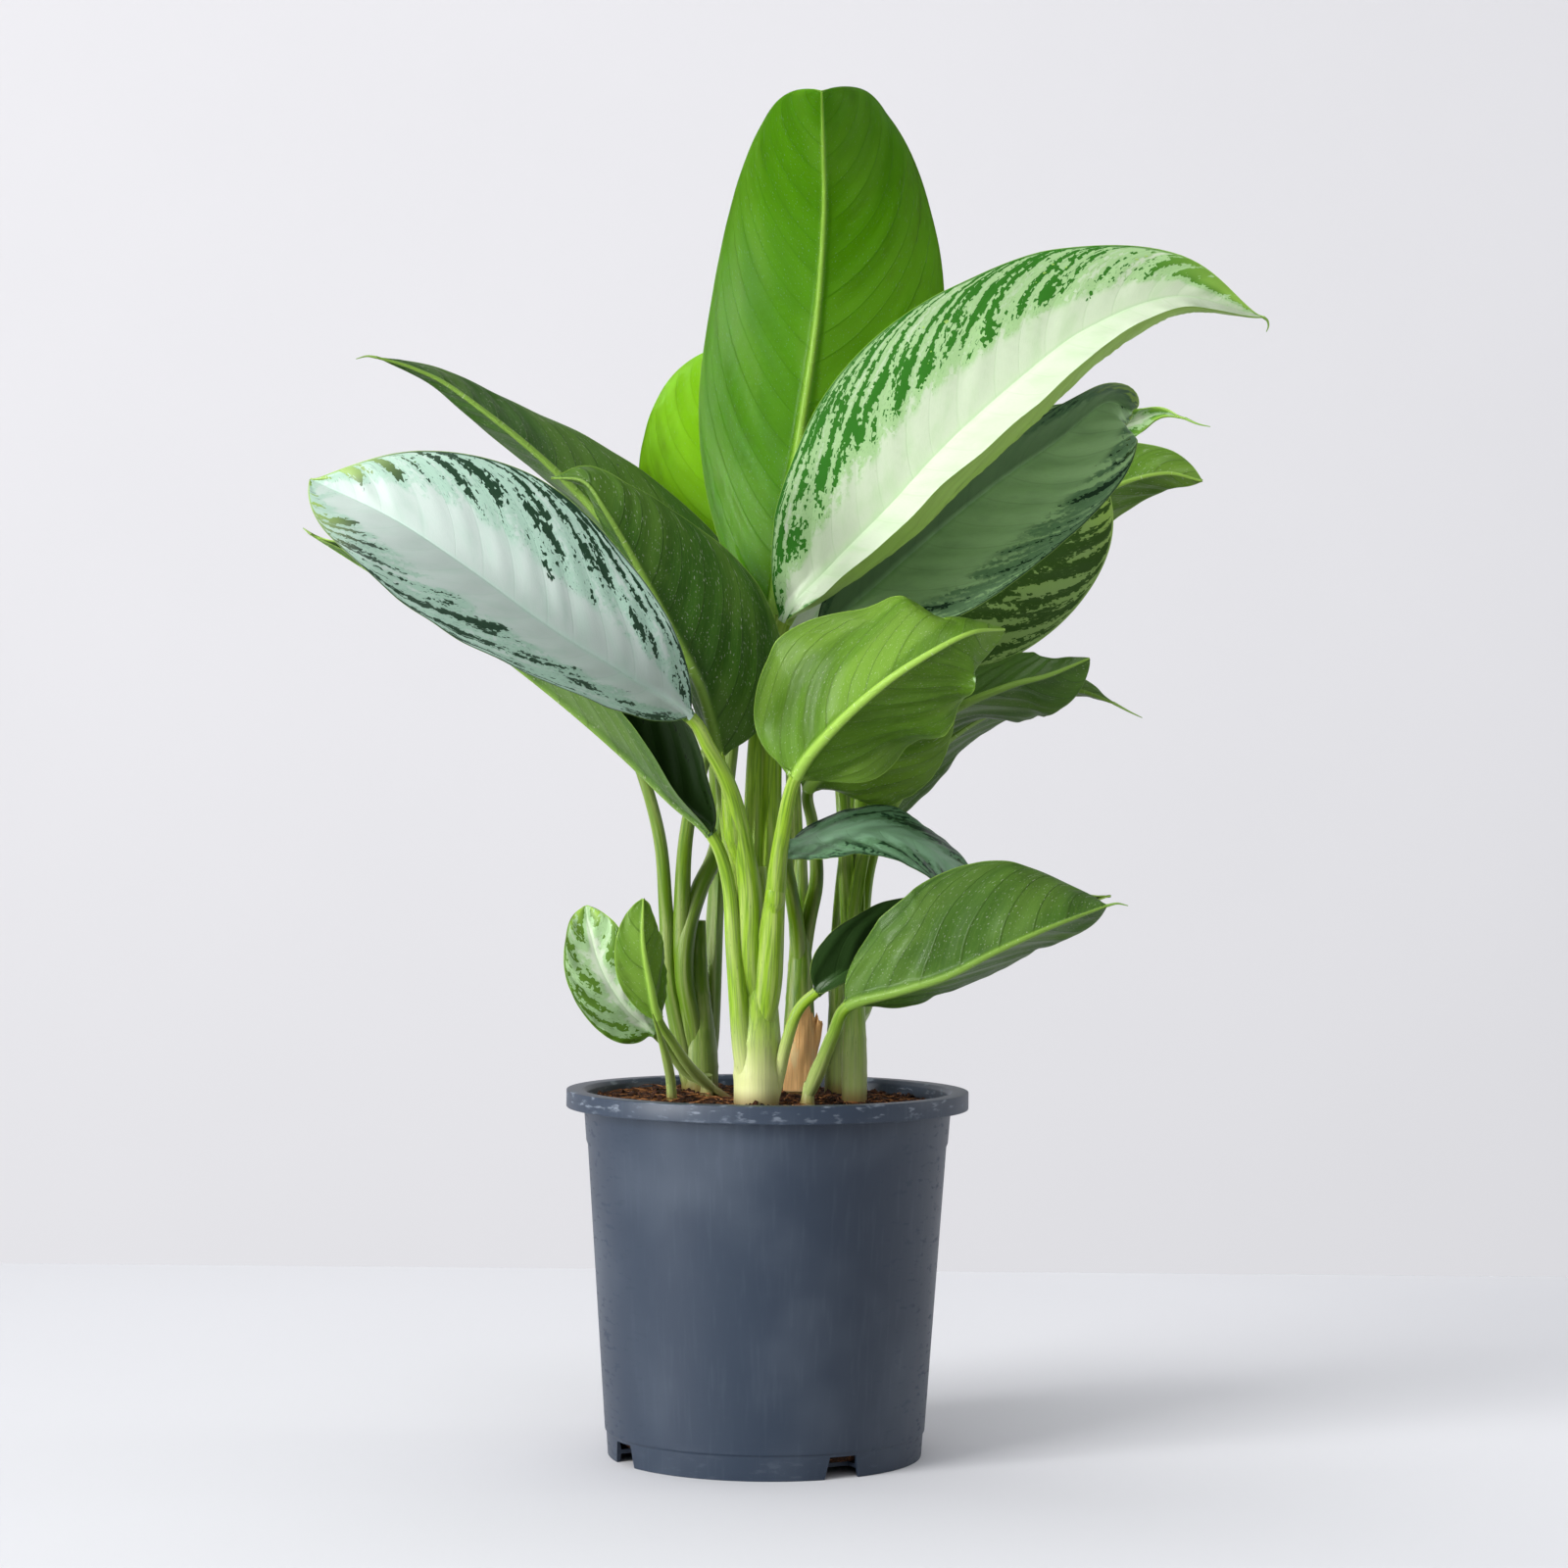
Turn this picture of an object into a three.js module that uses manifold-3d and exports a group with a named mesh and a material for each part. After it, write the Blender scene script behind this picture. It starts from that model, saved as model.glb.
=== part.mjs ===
// A potted silver bay Chinese evergreen: a plastic nursery pot, its soil, leafy shoots and their blades.
// Millimetres, +Z up, +X to the right seen from the front, +Y away from the viewer.
// The origin is on the ground, in the middle of the pot's foot.
import * as THREE from 'three';
import { mergeVertices } from 'three/addons/utils/BufferGeometryUtils.js';
import Module from 'manifold-3d';

// Pot
const POT_HEIGHT = 172;
const RIM_RADIUS = 95;
const RIM_LIP_HEIGHT = 8.2;
const RIM_ROUNDING = 1.6;
const NECK_RADIUS = 87.2;
const COLLAR_DROP = 24;
const COLLAR_SLOPE = 2;
const COLLAR_STEP = 0.6;
const STEP_HEIGHT = 11.5;
const STEP_RADIUS = 75.5;
const STEP_ROUNDING = 0.6;
const FOOT_RADIUS = 73;
const FOOT_FLARE = 0.8;
const WALL = 1.8;
const FLOOR_UNDERSIDE = 4;
const FLOOR_TOP = 6;
const BOSS_RADIUS = 18;
const POT_SIDES = 48;

// The drain notches in the pot's foot
const NOTCHES = 4;
const NOTCH_TURN = 29;
const NOTCH_HEIGHT = 10.3;
const NOTCH_BOTTOM = 18.5;
const NOTCH_TOP = 13.5;
const NOTCH_INNER_RADIUS = 66;
const NOTCH_OUTER_RADIUS = 79.5;
const NOTCH_OVERCUT = 1;

// Soil
const SOIL_TOP = 166.5;
const SOIL_TILT = 1.2;
const SOIL_BUMP = 1.1;
const SOIL_WAVES = [20, 17];
const SOIL_SWAYS = [33, 27];
const SOIL_CLEARANCE = 1.2;
const SOIL_FOOT_INSET = 4;
const SOIL_SIDES = 36;
const SOIL_RINGS = 5;

// What lies against something else keeps these clearances
const GAP = 0.3;
const JOINT_GAP = 0.5;
const CANE_CLEARANCE = 0.6;
const SPIKE_CLEARANCE = 0.9;

// The holes in the soil, and the canes that stand in them
const HOLE_SIDES = 12;
const HOLE_TOP = 180;
const CANE_FOOT = 120;
const CANE_SIDES = 10;
const CANE_STEPS = 6;

// Stalks and blades
const STALK_SIDES = 6;
const STALK_STEPS = 7;
const TIP_STEPS = 4;
const BLADE_ROWS = 10;
const END_PULL = 0.6;
const FINE_STEPS = 12;
const BLADE_THICKNESS = 1;
const RIB_HEIGHT = 1.7;
const TIP_HALF_WIDTH = 0.5;
const STEM_SHARE = 0.25;
const RIB_HALF_WIDTH = 3;
const FOLDING_WIDTH = 9;
const ROLLED_CURL = 40;
const FLAT_COLUMNS = [0.55, 1];
const ROLLED_COLUMNS = [0.4, 0.72, 1];

const COLOURS = {
  pot: { color: 0x3c4650, roughness: 0.5 },
  soil: { color: 0x3d2517, roughness: 0.95 },
  stem: { color: 0x9dbb5e, roughness: 0.45 },
  leaf: { color: 0x6d9a62, roughness: 0.4 },
  dry: { color: 0xc98a4b, roughness: 0.7 },
};

// Each shoot: its cane from the soil up, the cane's radius at even steps from its buried foot to its top, and
// the points of any sheath tips that stand off it.
const CANES = {
  front: {
    path: [[-5, -25, 170], [-5, -26, 225], [-5, -26, 278]],
    radius: [10, 11, 4],
    tips: [
      [[-14, -42, 275], [-18, -54, 304], [-22, -60, 331]],
      [[2, -44, 248], [3, -49, 270], [3, -49, 296]],
    ],
  },
  left: { path: [[-33, 50, 170], [-35, 49, 221], [-34, 48, 250]], radius: [8.5, 9, 3] },
  right_back: { path: [[15, 38, 170], [15, 38, 222], [15, 40, 280]], radius: [7.5, 7.5, 3] },
  right: { path: [[41, 0, 170], [41, 3, 205], [40, 8, 250]], radius: [6, 6, 3] },
  right_inner: { path: [[33, 48, 170], [33, 47, 230]], radius: [5.5, 5.5, 3] },
  small: { path: [[-29, 10, 170], [-29, 8, 178]], radius: [4, 4, 2.6] },
  low_right: { path: [[19, -30, 170], [20, -32, 178]], radius: [3.8, 3.9, 2.6] },
};
const SHEATH_TIP_RADII = [5.5, 3.4, 0.5];

// A new shoot, still rolled into a spike, with its radius at even steps
const SPIKE = {
  path: [[-45, -16, 120], [-45, -16, 150], [-45, -17, 170], [-47, -28, 188], [-53, -48, 210]],
  radius: [3, 3, 2.6, 0.5],
};

// A dead sheath: a torn half tube that stands loose around a cane's foot. arc and turn are in degrees.
const DRY_SHEATH = {
  centre: [15, 38], radius: 8.6, flare: 3.6, foot: 168.6, height: 48, thickness: 0.9, arc: 150, turn: 10,
  rows: 6, columns: 9, closing: 0.35, peak: 0.5, ripple: 1.2, ripples: 1.4, twist: 0.5, tear: 2, tears: 2.7,
};

// A blade: the shoot that carries it, the points of its stalk, the points of its midrib beyond the stalk, and
// how each half lies. stem holds the stalk's radius at foot and joint. width is a half's greatest width.
// lean, in degrees at base, middle and tip, turns a half towards the front (negative: away), and curl adds to
// the lean from the midrib to the margin. shape holds where the blade is widest, as a share of its length,
// and how slender its ends are. wave holds the height, the number and the start of the margin's waves. faces
// is the face seen from the front. A level blade grows away from the viewer and keeps its lower face down.
const BLADES = {
  left_silver: {
    shoot: 'front', faces: 'top', stem: [7.5, 3],
    stalk: [
      [-9, -31, 230], [-9, -38, 264], [-13, -50, 294],
      [-19, -60, 316], [-28, -68, 333], [-37, -72, 347],
    ],
    rib: [[-64, -95, 364], [-98, -112, 385], [-133, -120, 410], [-167, -120, 432], [-205, -108, 450]],
    left: { width: 48, lean: [62, 50, 36], curl: 15 },
    right: { width: 51, lean: [25, 5, 20], curl: -10 },
    shape: [0.54, 1.5], wave: [1.5, 2, 0],
  },
  left_low: {
    shoot: 'front', faces: 'top', stem: [6, 2.8],
    stalk: [[-11, -30, 189], [-16, -36, 239], [-19, -40, 271], [-27, -45, 293]],
    rib: [
      [-45, -46, 309], [-70, -42, 332], [-103, -38, 359],
      [-140, -34, 386], [-177, -30, 408], [-215, -25, 431],
    ],
    left: { width: 34, lean: [70, 108, 80], curl: 15 },
    right: { width: 42, lean: [30, 20, 40], curl: 0 },
    shape: [0.38, 1.9], wave: [1.5, 2, 0.3],
  },
  top: {
    shoot: 'front', faces: 'underside', stem: [7, 3.6],
    stalk: [[-8, -22, 257], [-7, -20, 293], [-6, -14, 335], [-3, -6, 367], [1, 2, 396]],
    rib: [[6, 8, 438], [13, 10, 484], [20, 4, 535], [23, -10, 584], [22, -32, 617], [21, -56, 634]],
    left: { width: 56, lean: [-25, -12, -30], curl: -15 },
    right: { width: 63, lean: [-20, -5, -30], curl: -15 },
    shape: [0.5, 1.25], wave: [2, 2, 0.1],
  },
  right_silver: {
    shoot: 'front', faces: 'top', stem: [7, 3.6],
    stalk: [[-1, -22, 248], [0, -20, 289], [1, -16, 335], [3, -14, 367], [6, -14, 393]],
    rib: [
      [28, -30, 419], [53, -45, 444], [79, -58, 472], [110, -68, 500],
      [142, -74, 524], [182, -74, 539], [223, -66, 531],
    ],
    left: { width: 58, lean: [10, 5, 15], curl: 5 },
    right: { width: 48, lean: [38, 46, 46], curl: 60 },
    shape: [0.4, 2], wave: [1.5, 2, 0.6],
  },
  front_left: {
    shoot: 'front', faces: 'underside', stem: [6, 3],
    stalk: [[-12, -24, 238], [-17, -27, 280], [-21, -30, 307], [-24, -32, 330]],
    rib: [
      [-32, -40, 360], [-46, -46, 388], [-62, -50, 417],
      [-77, -50, 442], [-87, -47, 455], [-102, -42, 457],
    ],
    left: { width: 42, lean: [-70, -78, -60], curl: -10 },
    right: { width: 48, lean: [-5, -15, -20], curl: -15 },
    shape: [0.34, 1.7], wave: [1.5, 2, 0.4],
  },
  front_right: {
    shoot: 'front', faces: 'underside', stem: [7.5, 3],
    stalk: [[0, -33, 221], [3, -48, 267], [6, -62, 294], [12, -76, 320]],
    rib: [[28, -95, 341], [50, -113, 361], [71, -122, 375], [89, -120, 384], [104, -106, 386]],
    left: { width: 53, lean: [-8, -42, -60], curl: -10 },
    right: { width: 46, lean: [-30, -45, -25], curl: 0 },
    shape: [0.36, 1], wave: [2.5, 2, 0.2],
  },
  low_dark: {
    shoot: 'front', faces: 'top', stem: [4, 2.6],
    stalk: [[4, -26, 176], [9, -34, 198], [14, -38, 212], [23, -40, 221]],
    rib: [[38, -46, 232], [60, -52, 246], [92, -54, 256], [125, -48, 262], [158, -40, 266]],
    left: { width: 27, lean: [30, 50, 60], curl: 0 },
    right: { width: 24, lean: [70, 60, 50], curl: 20 },
    shape: [0.33, 1.7], wave: [1, 2, 0],
  },
  left_behind: {
    shoot: 'left', faces: 'top', stem: [4.6, 2.8],
    stalk: [
      [-41, 46, 183], [-48, 42, 221], [-50, 40, 254],
      [-53, 38, 288], [-61, 38, 318], [-70, 40, 337],
    ],
    rib: [[-94, 52, 368], [-129, 65, 402], [-168, 72, 431], [-202, 70, 447], [-216, 64, 451]],
    left: { width: 38, lean: [60, 60, 50], curl: 0 },
    right: { width: 40, lean: [40, 40, 30], curl: 0 },
    shape: [0.4, 1.4], wave: [1.5, 2, 0.5],
  },
  upper_left: {
    shoot: 'left', faces: 'underside', stem: [5, 2.8],
    stalk: [
      [-38, 46, 193], [-42, 40, 231], [-42, 35, 269],
      [-39, 28, 300], [-31, 20, 330], [-23, 14, 360],
    ],
    rib: [
      [-41, 16, 390], [-69, 20, 428], [-108, 26, 469],
      [-151, 28, 503], [-172, 26, 514], [-190, 22, 519],
    ],
    left: { width: 40, lean: [-70, -78, -60], curl: 0 },
    right: { width: 46, lean: [-5, -46, -58], curl: 0 },
    shape: [0.3, 1.6], wave: [2, 2, 0.2],
  },
  top_left: {
    shoot: 'left', faces: 'underside', stem: [5, 2.8],
    stalk: [
      [-36, 46, 193], [-41, 40, 222], [-40, 38, 245], [-34, 42, 266],
      [-26, 47, 285], [-20, 54, 326], [-16, 60, 373], [-17, 62, 412],
    ],
    rib: [[-20, 65, 441], [-23, 64, 470], [-23, 57, 500], [-17, 44, 529]],
    left: { width: 46, lean: [-20, -10, -20], curl: -10 },
    right: { width: 40, lean: [-20, -20, -30], curl: 0 },
    shape: [0.42, 1.2], wave: [1.5, 2, 0.2],
  },
  back_left: {
    shoot: 'left', faces: 'top', level: true, stem: [5, 3],
    stalk: [[-29, 56, 187], [-27, 64, 239], [-26, 74, 285], [-28, 92, 325], [-33, 116, 352]],
    rib: [[-43, 146, 374], [-54, 182, 390], [-65, 218, 392], [-74, 250, 380], [-80, 274, 360]],
    left: { width: 47, lean: [30, 15, 10], curl: 0 },
    right: { width: 48, lean: [30, 15, 10], curl: 0 },
    shape: [0.42, 1.5], wave: [2.5, 2, 0.1],
  },
  small_silver: {
    shoot: 'small', faces: 'top', stem: [3.4, 2],
    stalk: [[-30, 8, 174], [-39, 4, 180], [-47, -8, 192], [-54, -18, 200]],
    rib: [[-66, -27, 211], [-77, -34, 229], [-83, -36, 248], [-85, -33, 259]],
    left: { width: 18, lean: [10, 10, 10], curl: 10 },
    right: { width: 20, lean: [20, 15, 10], curl: 0 },
    shape: [0.45, 1.1], wave: [0.8, 2, 0],
  },
  small_green: {
    shoot: 'small', faces: 'underside', stem: [3.4, 2],
    stalk: [[-28, 8, 173], [-37, -6, 183], [-45, -20, 196], [-51, -30, 207]],
    rib: [[-55, -40, 225], [-58, -46, 244], [-58, -45, 263]],
    left: { width: 15, lean: [-20, -15, -10], curl: 0 },
    right: { width: 14, lean: [-50, -50, -40], curl: 0 },
    shape: [0.45, 1.2], wave: [0.5, 2, 0],
  },
  arching: {
    shoot: 'right_back', faces: 'top', stem: [4.6, 2.8],
    stalk: [[14, 34, 241], [10, 14, 267], [8, -2, 280], [9, -16, 287]],
    rib: [[30, -32, 294], [52, -44, 295], [72, -49, 288], [88, -50, 275], [97, -48, 262]],
    left: { width: 32, lean: [-65, -72, -68], curl: 0 },
    right: { width: 32, lean: [70, 68, 55], curl: 0 },
    shape: [0.45, 1.3], wave: [1, 2, 0],
  },
  mid_inner: {
    shoot: 'right_back', faces: 'underside', stem: [4.6, 2.8],
    stalk: [[18, 38, 245], [22, 28, 267], [22, 18, 282], [20, 6, 298], [18, -6, 314]],
    rib: [[31, -24, 326], [49, -38, 340], [68, -46, 355], [86, -50, 369]],
    left: { width: 36, lean: [-20, -20, -20], curl: 0 },
    right: { width: 42, lean: [-30, -38, -45], curl: 0 },
    shape: [0.4, 1.2], wave: [1, 2, 0],
  },
  back_centre: {
    shoot: 'right_back', faces: 'top', stem: [4.8, 3],
    stalk: [[14, 42, 241], [12, 60, 293], [10, 85, 346], [9, 105, 390]],
    rib: [[13, 130, 436], [23, 150, 483], [37, 172, 524], [52, 200, 552]],
    left: { width: 50, lean: [25, 15, 10], curl: 0 },
    right: { width: 50, lean: [25, 15, 10], curl: 0 },
    shape: [0.42, 1.4], wave: [2, 2, 0.4],
  },
  right_second: {
    shoot: 'right', faces: 'top', stem: [4.6, 2.8],
    stalk: [[39, 8, 224], [37, 16, 270], [34, 20, 317], [28, 14, 359], [24, 6, 385]],
    rib: [[52, 0, 413], [79, -8, 437], [106, -14, 459], [134, -16, 479], [156, -8, 497], [170, 6, 495]],
    left: { width: 36, lean: [40, 50, 80], curl: 0 },
    right: { width: 48, lean: [45, 28, 30], curl: 0 },
    shape: [0.5, 1.4], wave: [1.5, 2, 0.2],
  },
  right_round: {
    shoot: 'right', faces: 'top', stem: [4.6, 2.8],
    stalk: [[42, 10, 224], [43, 22, 270], [44, 36, 317], [44, 44, 355], [46, 46, 380]],
    rib: [[72, 46, 399], [105, 40, 424], [135, 32, 447], [156, 22, 467]],
    left: { width: 42, lean: [20, 10, 10], curl: 0 },
    right: { width: 45, lean: [15, 8, 5], curl: 0 },
    shape: [0.5, 1.15], wave: [1.5, 2, 0.4],
  },
  right_pointed: {
    shoot: 'right', faces: 'underside', stem: [4.2, 2.6],
    stalk: [[43, 10, 223], [46, 20, 265], [50, 24, 285], [55, 26, 299]],
    rib: [[67, 22, 319], [88, 16, 341], [118, 8, 358], [143, -2, 362], [161, -10, 356]],
    left: { width: 32, lean: [-60, -60, -50], curl: 0 },
    right: { width: 34, lean: [-60, -76, -76], curl: 0 },
    shape: [0.36, 1.7], wave: [1, 2, 0],
  },
  mid_right: {
    shoot: 'right', faces: 'underside', stem: [4.2, 2.6],
    stalk: [[39, 9, 242], [43, 15, 275], [50, 18, 300], [58, 12, 320], [66, 0, 335]],
    rib: [[86, -18, 352], [111, -30, 363], [129, -34, 368], [148, -30, 376]],
    left: { width: 34, lean: [-62, -65, -60], curl: 0 },
    right: { width: 36, lean: [-60, -62, -20], curl: 0 },
    shape: [0.42, 1.2], wave: [1.5, 2, 0.3],
  },
  right_far: {
    shoot: 'right_inner', faces: 'top', stem: [4.2, 2.6],
    stalk: [[34, 48, 222], [37, 60, 269], [40, 76, 317], [44, 90, 365], [50, 98, 399]],
    rib: [
      [83, 110, 434], [122, 112, 468], [150, 104, 489],
      [177, 88, 497], [191, 78, 501], [202, 70, 498],
    ],
    left: { width: 36, lean: [15, 15, 60], curl: 0 },
    right: { width: 36, lean: [15, 15, 60], curl: 0 },
    shape: [0.35, 1.8], wave: [1.5, 2, 0.3],
  },
  right_glossy: {
    shoot: 'right_inner', faces: 'underside', stem: [4.2, 2.6],
    stalk: [[34, 47, 222], [39, 54, 269], [47, 60, 317], [56, 62, 360], [66, 64, 389]],
    rib: [[97, 66, 413], [131, 68, 440], [164, 66, 462], [190, 60, 470], [209, 54, 466]],
    left: { width: 36, lean: [-20, -30, -30], curl: 0 },
    right: { width: 34, lean: [-20, -50, -60], curl: 0 },
    shape: [0.42, 1.4], wave: [1.5, 2, 0.3],
  },
  back_right: {
    shoot: 'right_inner', faces: 'top', level: true, stem: [4.6, 2.8],
    stalk: [[33, 50, 217], [36, 70, 268], [42, 94, 310], [50, 118, 340], [56, 138, 356]],
    rib: [[66, 168, 374], [78, 198, 383], [92, 228, 382], [104, 254, 370], [113, 274, 352]],
    left: { width: 43, lean: [25, 15, 10], curl: 0 },
    right: { width: 42, lean: [25, 12, 5], curl: 0 },
    shape: [0.42, 1.5], wave: [2.5, 2, 0.2],
  },
  low_right: {
    shoot: 'low_right', faces: 'underside', stem: [3.8, 2.8],
    stalk: [[20, -31, 174], [24, -42, 185], [30, -56, 202], [37, -68, 216]],
    rib: [[60, -84, 224], [80, -92, 231], [101, -96, 242], [125, -96, 253], [152, -88, 263]],
    left: { width: 43, lean: [0, -5, -45], curl: -10 },
    right: { width: 38, lean: [-60, -75, -60], curl: 0 },
    shape: [0.52, 1.15], wave: [1.5, 2, 0.2],
  },
  back_low: {
    shoot: 'right', faces: 'top', level: true, stem: [4.2, 2.6],
    stalk: [[42, 8, 198], [46, 28, 208], [51, 48, 216], [58, 66, 223]],
    rib: [[75, 90, 234], [93, 116, 240], [109, 138, 238], [122, 156, 230]],
    left: { width: 36, lean: [25, 15, 10], curl: 0 },
    right: { width: 33, lean: [25, 15, 10], curl: 0 },
    shape: [0.42, 1.4], wave: [2, 2, 0.2],
  },
};

const wasm = await Module();
wasm.setup();

const AWAY = new THREE.Vector3(0, 1, 0);
const UP = new THREE.Vector3(0, 0, 1);
const vector = (point) => new THREE.Vector3(...point);
const radians = THREE.MathUtils.degToRad;
const lerp = THREE.MathUtils.lerp;
const turns = (count) => 2 * Math.PI * count;

// A closed geometry as a solid that can be joined and cut
function solid(geometry) {
  const bare = geometry.clone();
  bare.deleteAttribute('normal');
  bare.deleteAttribute('uv');
  const merged = mergeVertices(bare, 1e-4);
  return new wasm.Manifold(
    new wasm.Mesh({
      numProp: 3,
      vertProperties: new Float32Array(merged.attributes.position.array),
      triVerts: new Uint32Array(merged.index.array),
    }),
  );
}

function geometryOf(body) {
  const mesh = body.getMesh();
  const geometry = new THREE.BufferGeometry();
  geometry.setAttribute('position', new THREE.BufferAttribute(mesh.vertProperties, 3));
  geometry.setIndex(new THREE.BufferAttribute(mesh.triVerts, 1));
  geometry.computeVertexNormals();
  return geometry;
}

function geometryFrom(points, index) {
  const geometry = new THREE.BufferGeometry();
  const positions = points.flatMap((p) => [p.x, p.y, p.z]);
  geometry.setAttribute('position', new THREE.Float32BufferAttribute(positions, 3));
  geometry.setIndex(index);
  geometry.computeVertexNormals();
  return geometry;
}

// A closed geometry from rings of points, each ring with the same count, with a flat cap at each end
function loft(rings) {
  const count = rings[0].length;
  const index = [];
  for (let row = 0; row + 1 < rings.length; row++) {
    for (let k = 0; k < count; k++) {
      const [a, b] = [row * count + k, row * count + ((k + 1) % count)];
      const [c, d] = [a + count, b + count];
      index.push(a, b, d, a, d, c);
    }
  }
  const last = (rings.length - 1) * count;
  for (let k = 1; k + 1 < count; k++) {
    index.push(0, k + 1, k);
    index.push(last, last + k, last + k + 1);
  }
  return geometryFrom(rings.flat(), index);
}

// A closed sheet around a grid of points: each is pushed to both faces along the surface's own normal.
// Both faces are split into the same triangles, so the thickness holds where the sheet is waved. Narrow ends
// take the middle's normal right across, so that the two faces can't cross there.
function sheet(grid, nearDepth, farDepth, narrowEnds = false) {
  const [rows, columns] = [grid.length, grid[0].length];
  const at = (i, j) => grid[Math.min(Math.max(i, 0), rows - 1)][Math.min(Math.max(j, 0), columns - 1)];
  const near = [];
  const far = [];
  for (let i = 0; i < rows; i++) {
    for (let j = 0; j < columns; j++) {
      const across = narrowEnds && (i === 0 || i === rows - 1) ? (columns - 1) / 2 : j;
      const lengthways = at(i + 1, across).clone().sub(at(i - 1, across));
      const sideways = at(i, across + 1).clone().sub(at(i, across - 1));
      const normal = lengthways.cross(sideways).normalize();
      near.push(at(i, j).clone().addScaledVector(normal, -nearDepth(i, j)));
      far.push(at(i, j).clone().addScaledVector(normal, farDepth(i, j)));
    }
  }
  const size = rows * columns;
  const index = [];
  for (let i = 0; i + 1 < rows; i++) {
    for (let j = 0; j + 1 < columns; j++) {
      const [a, b] = [i * columns + j, i * columns + j + 1];
      const [c, d] = [a + columns, b + columns];
      index.push(a, d, c, a, b, d);
      index.push(size + a, size + c, size + d, size + a, size + d, size + b);
    }
  }
  const edge = [];
  for (let j = 0; j + 1 < columns; j++) edge.push(j);
  for (let i = 0; i + 1 < rows; i++) edge.push(i * columns + columns - 1);
  for (let j = columns - 1; j > 0; j--) edge.push((rows - 1) * columns + j);
  for (let i = rows - 1; i > 0; i--) edge.push(i * columns);
  edge.forEach((a, k) => {
    const b = edge[(k + 1) % edge.length];
    index.push(a, size + a, size + b, a, size + b, b);
  });
  return geometryFrom([...near, ...far], index);
}

// The point and the direction of growth at shares of the way along a smooth curve, between two of its points
function stations(points, first, last, shares) {
  const curve = new THREE.CatmullRomCurve3(points.map(vector), false, 'catmullrom', 0.5);
  const fine = FINE_STEPS * (last - first);
  const at = (k) => (first + k / FINE_STEPS) / (points.length - 1);
  const lengths = [0];
  for (let k = 1; k <= fine; k++) {
    lengths.push(lengths[k - 1] + curve.getPoint(at(k)).distanceTo(curve.getPoint(at(k - 1))));
  }
  return shares.map((share) => {
    const wanted = lengths[fine] * share;
    let k = 1;
    while (k < fine && lengths[k] < wanted) k++;
    const t = at(k - 1 + (wanted - lengths[k - 1]) / (lengths[k] - lengths[k - 1]));
    return { point: curve.getPoint(t), growth: curve.getTangent(t) };
  });
}

const evenly = (steps) => Array.from({ length: steps + 1 }, (_, i) => i / steps);

// Shares of a blade's length, closer together at its two ends
const BLADE_SHARES = evenly(BLADE_ROWS).map((s) => lerp(s, (1 - Math.cos(Math.PI * s)) / 2, END_PULL));

// The unit vectors to the right and to the back of a direction of growth. A level blade's back is underneath.
function sides(growth, level = false) {
  const right = level ? growth.clone().cross(UP) : AWAY.clone().cross(growth);
  right.normalize();
  return { right, back: growth.clone().cross(right) };
}

// The value at s of a broken line through evenly spaced values
function along(values, s) {
  const place = s * (values.length - 1);
  const k = Math.min(Math.floor(place), values.length - 2);
  return lerp(values[k], values[k + 1], place - k);
}

// The value at s of a smooth line through those at 0, a half and 1
function through([start, middle, end], s) {
  const pull = 2 * middle - (start + end) / 2;
  return start * (1 - s) ** 2 + 2 * pull * s * (1 - s) + end * s ** 2;
}

// A round solid along a smooth line of points, with its radius at even steps from foot to top
function rod(points, last, steps, radii, count) {
  const path = stations(points, 0, last, evenly(steps));
  return loft(
    path.map(({ point, growth }, i) => {
      const { right, back } = sides(growth);
      const radius = along(radii, i / steps);
      return Array.from({ length: count }, (_, k) => {
        const angle = turns(k / count);
        const out = right.clone().multiplyScalar(Math.cos(angle)).addScaledVector(back, Math.sin(angle));
        return point.clone().addScaledVector(out, radius);
      });
    }),
  );
}

// A blade's half width at s, as a share of its greatest
function outline([widest, ends], s) {
  return (s / widest) ** (ends * widest) * ((1 - s) / (1 - widest)) ** (ends * (1 - widest));
}

// How far across a flat width a curled one reaches
function shortened(turned) {
  return turned ? Math.sin(turned / 2) / (turned / 2) : 1;
}

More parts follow.
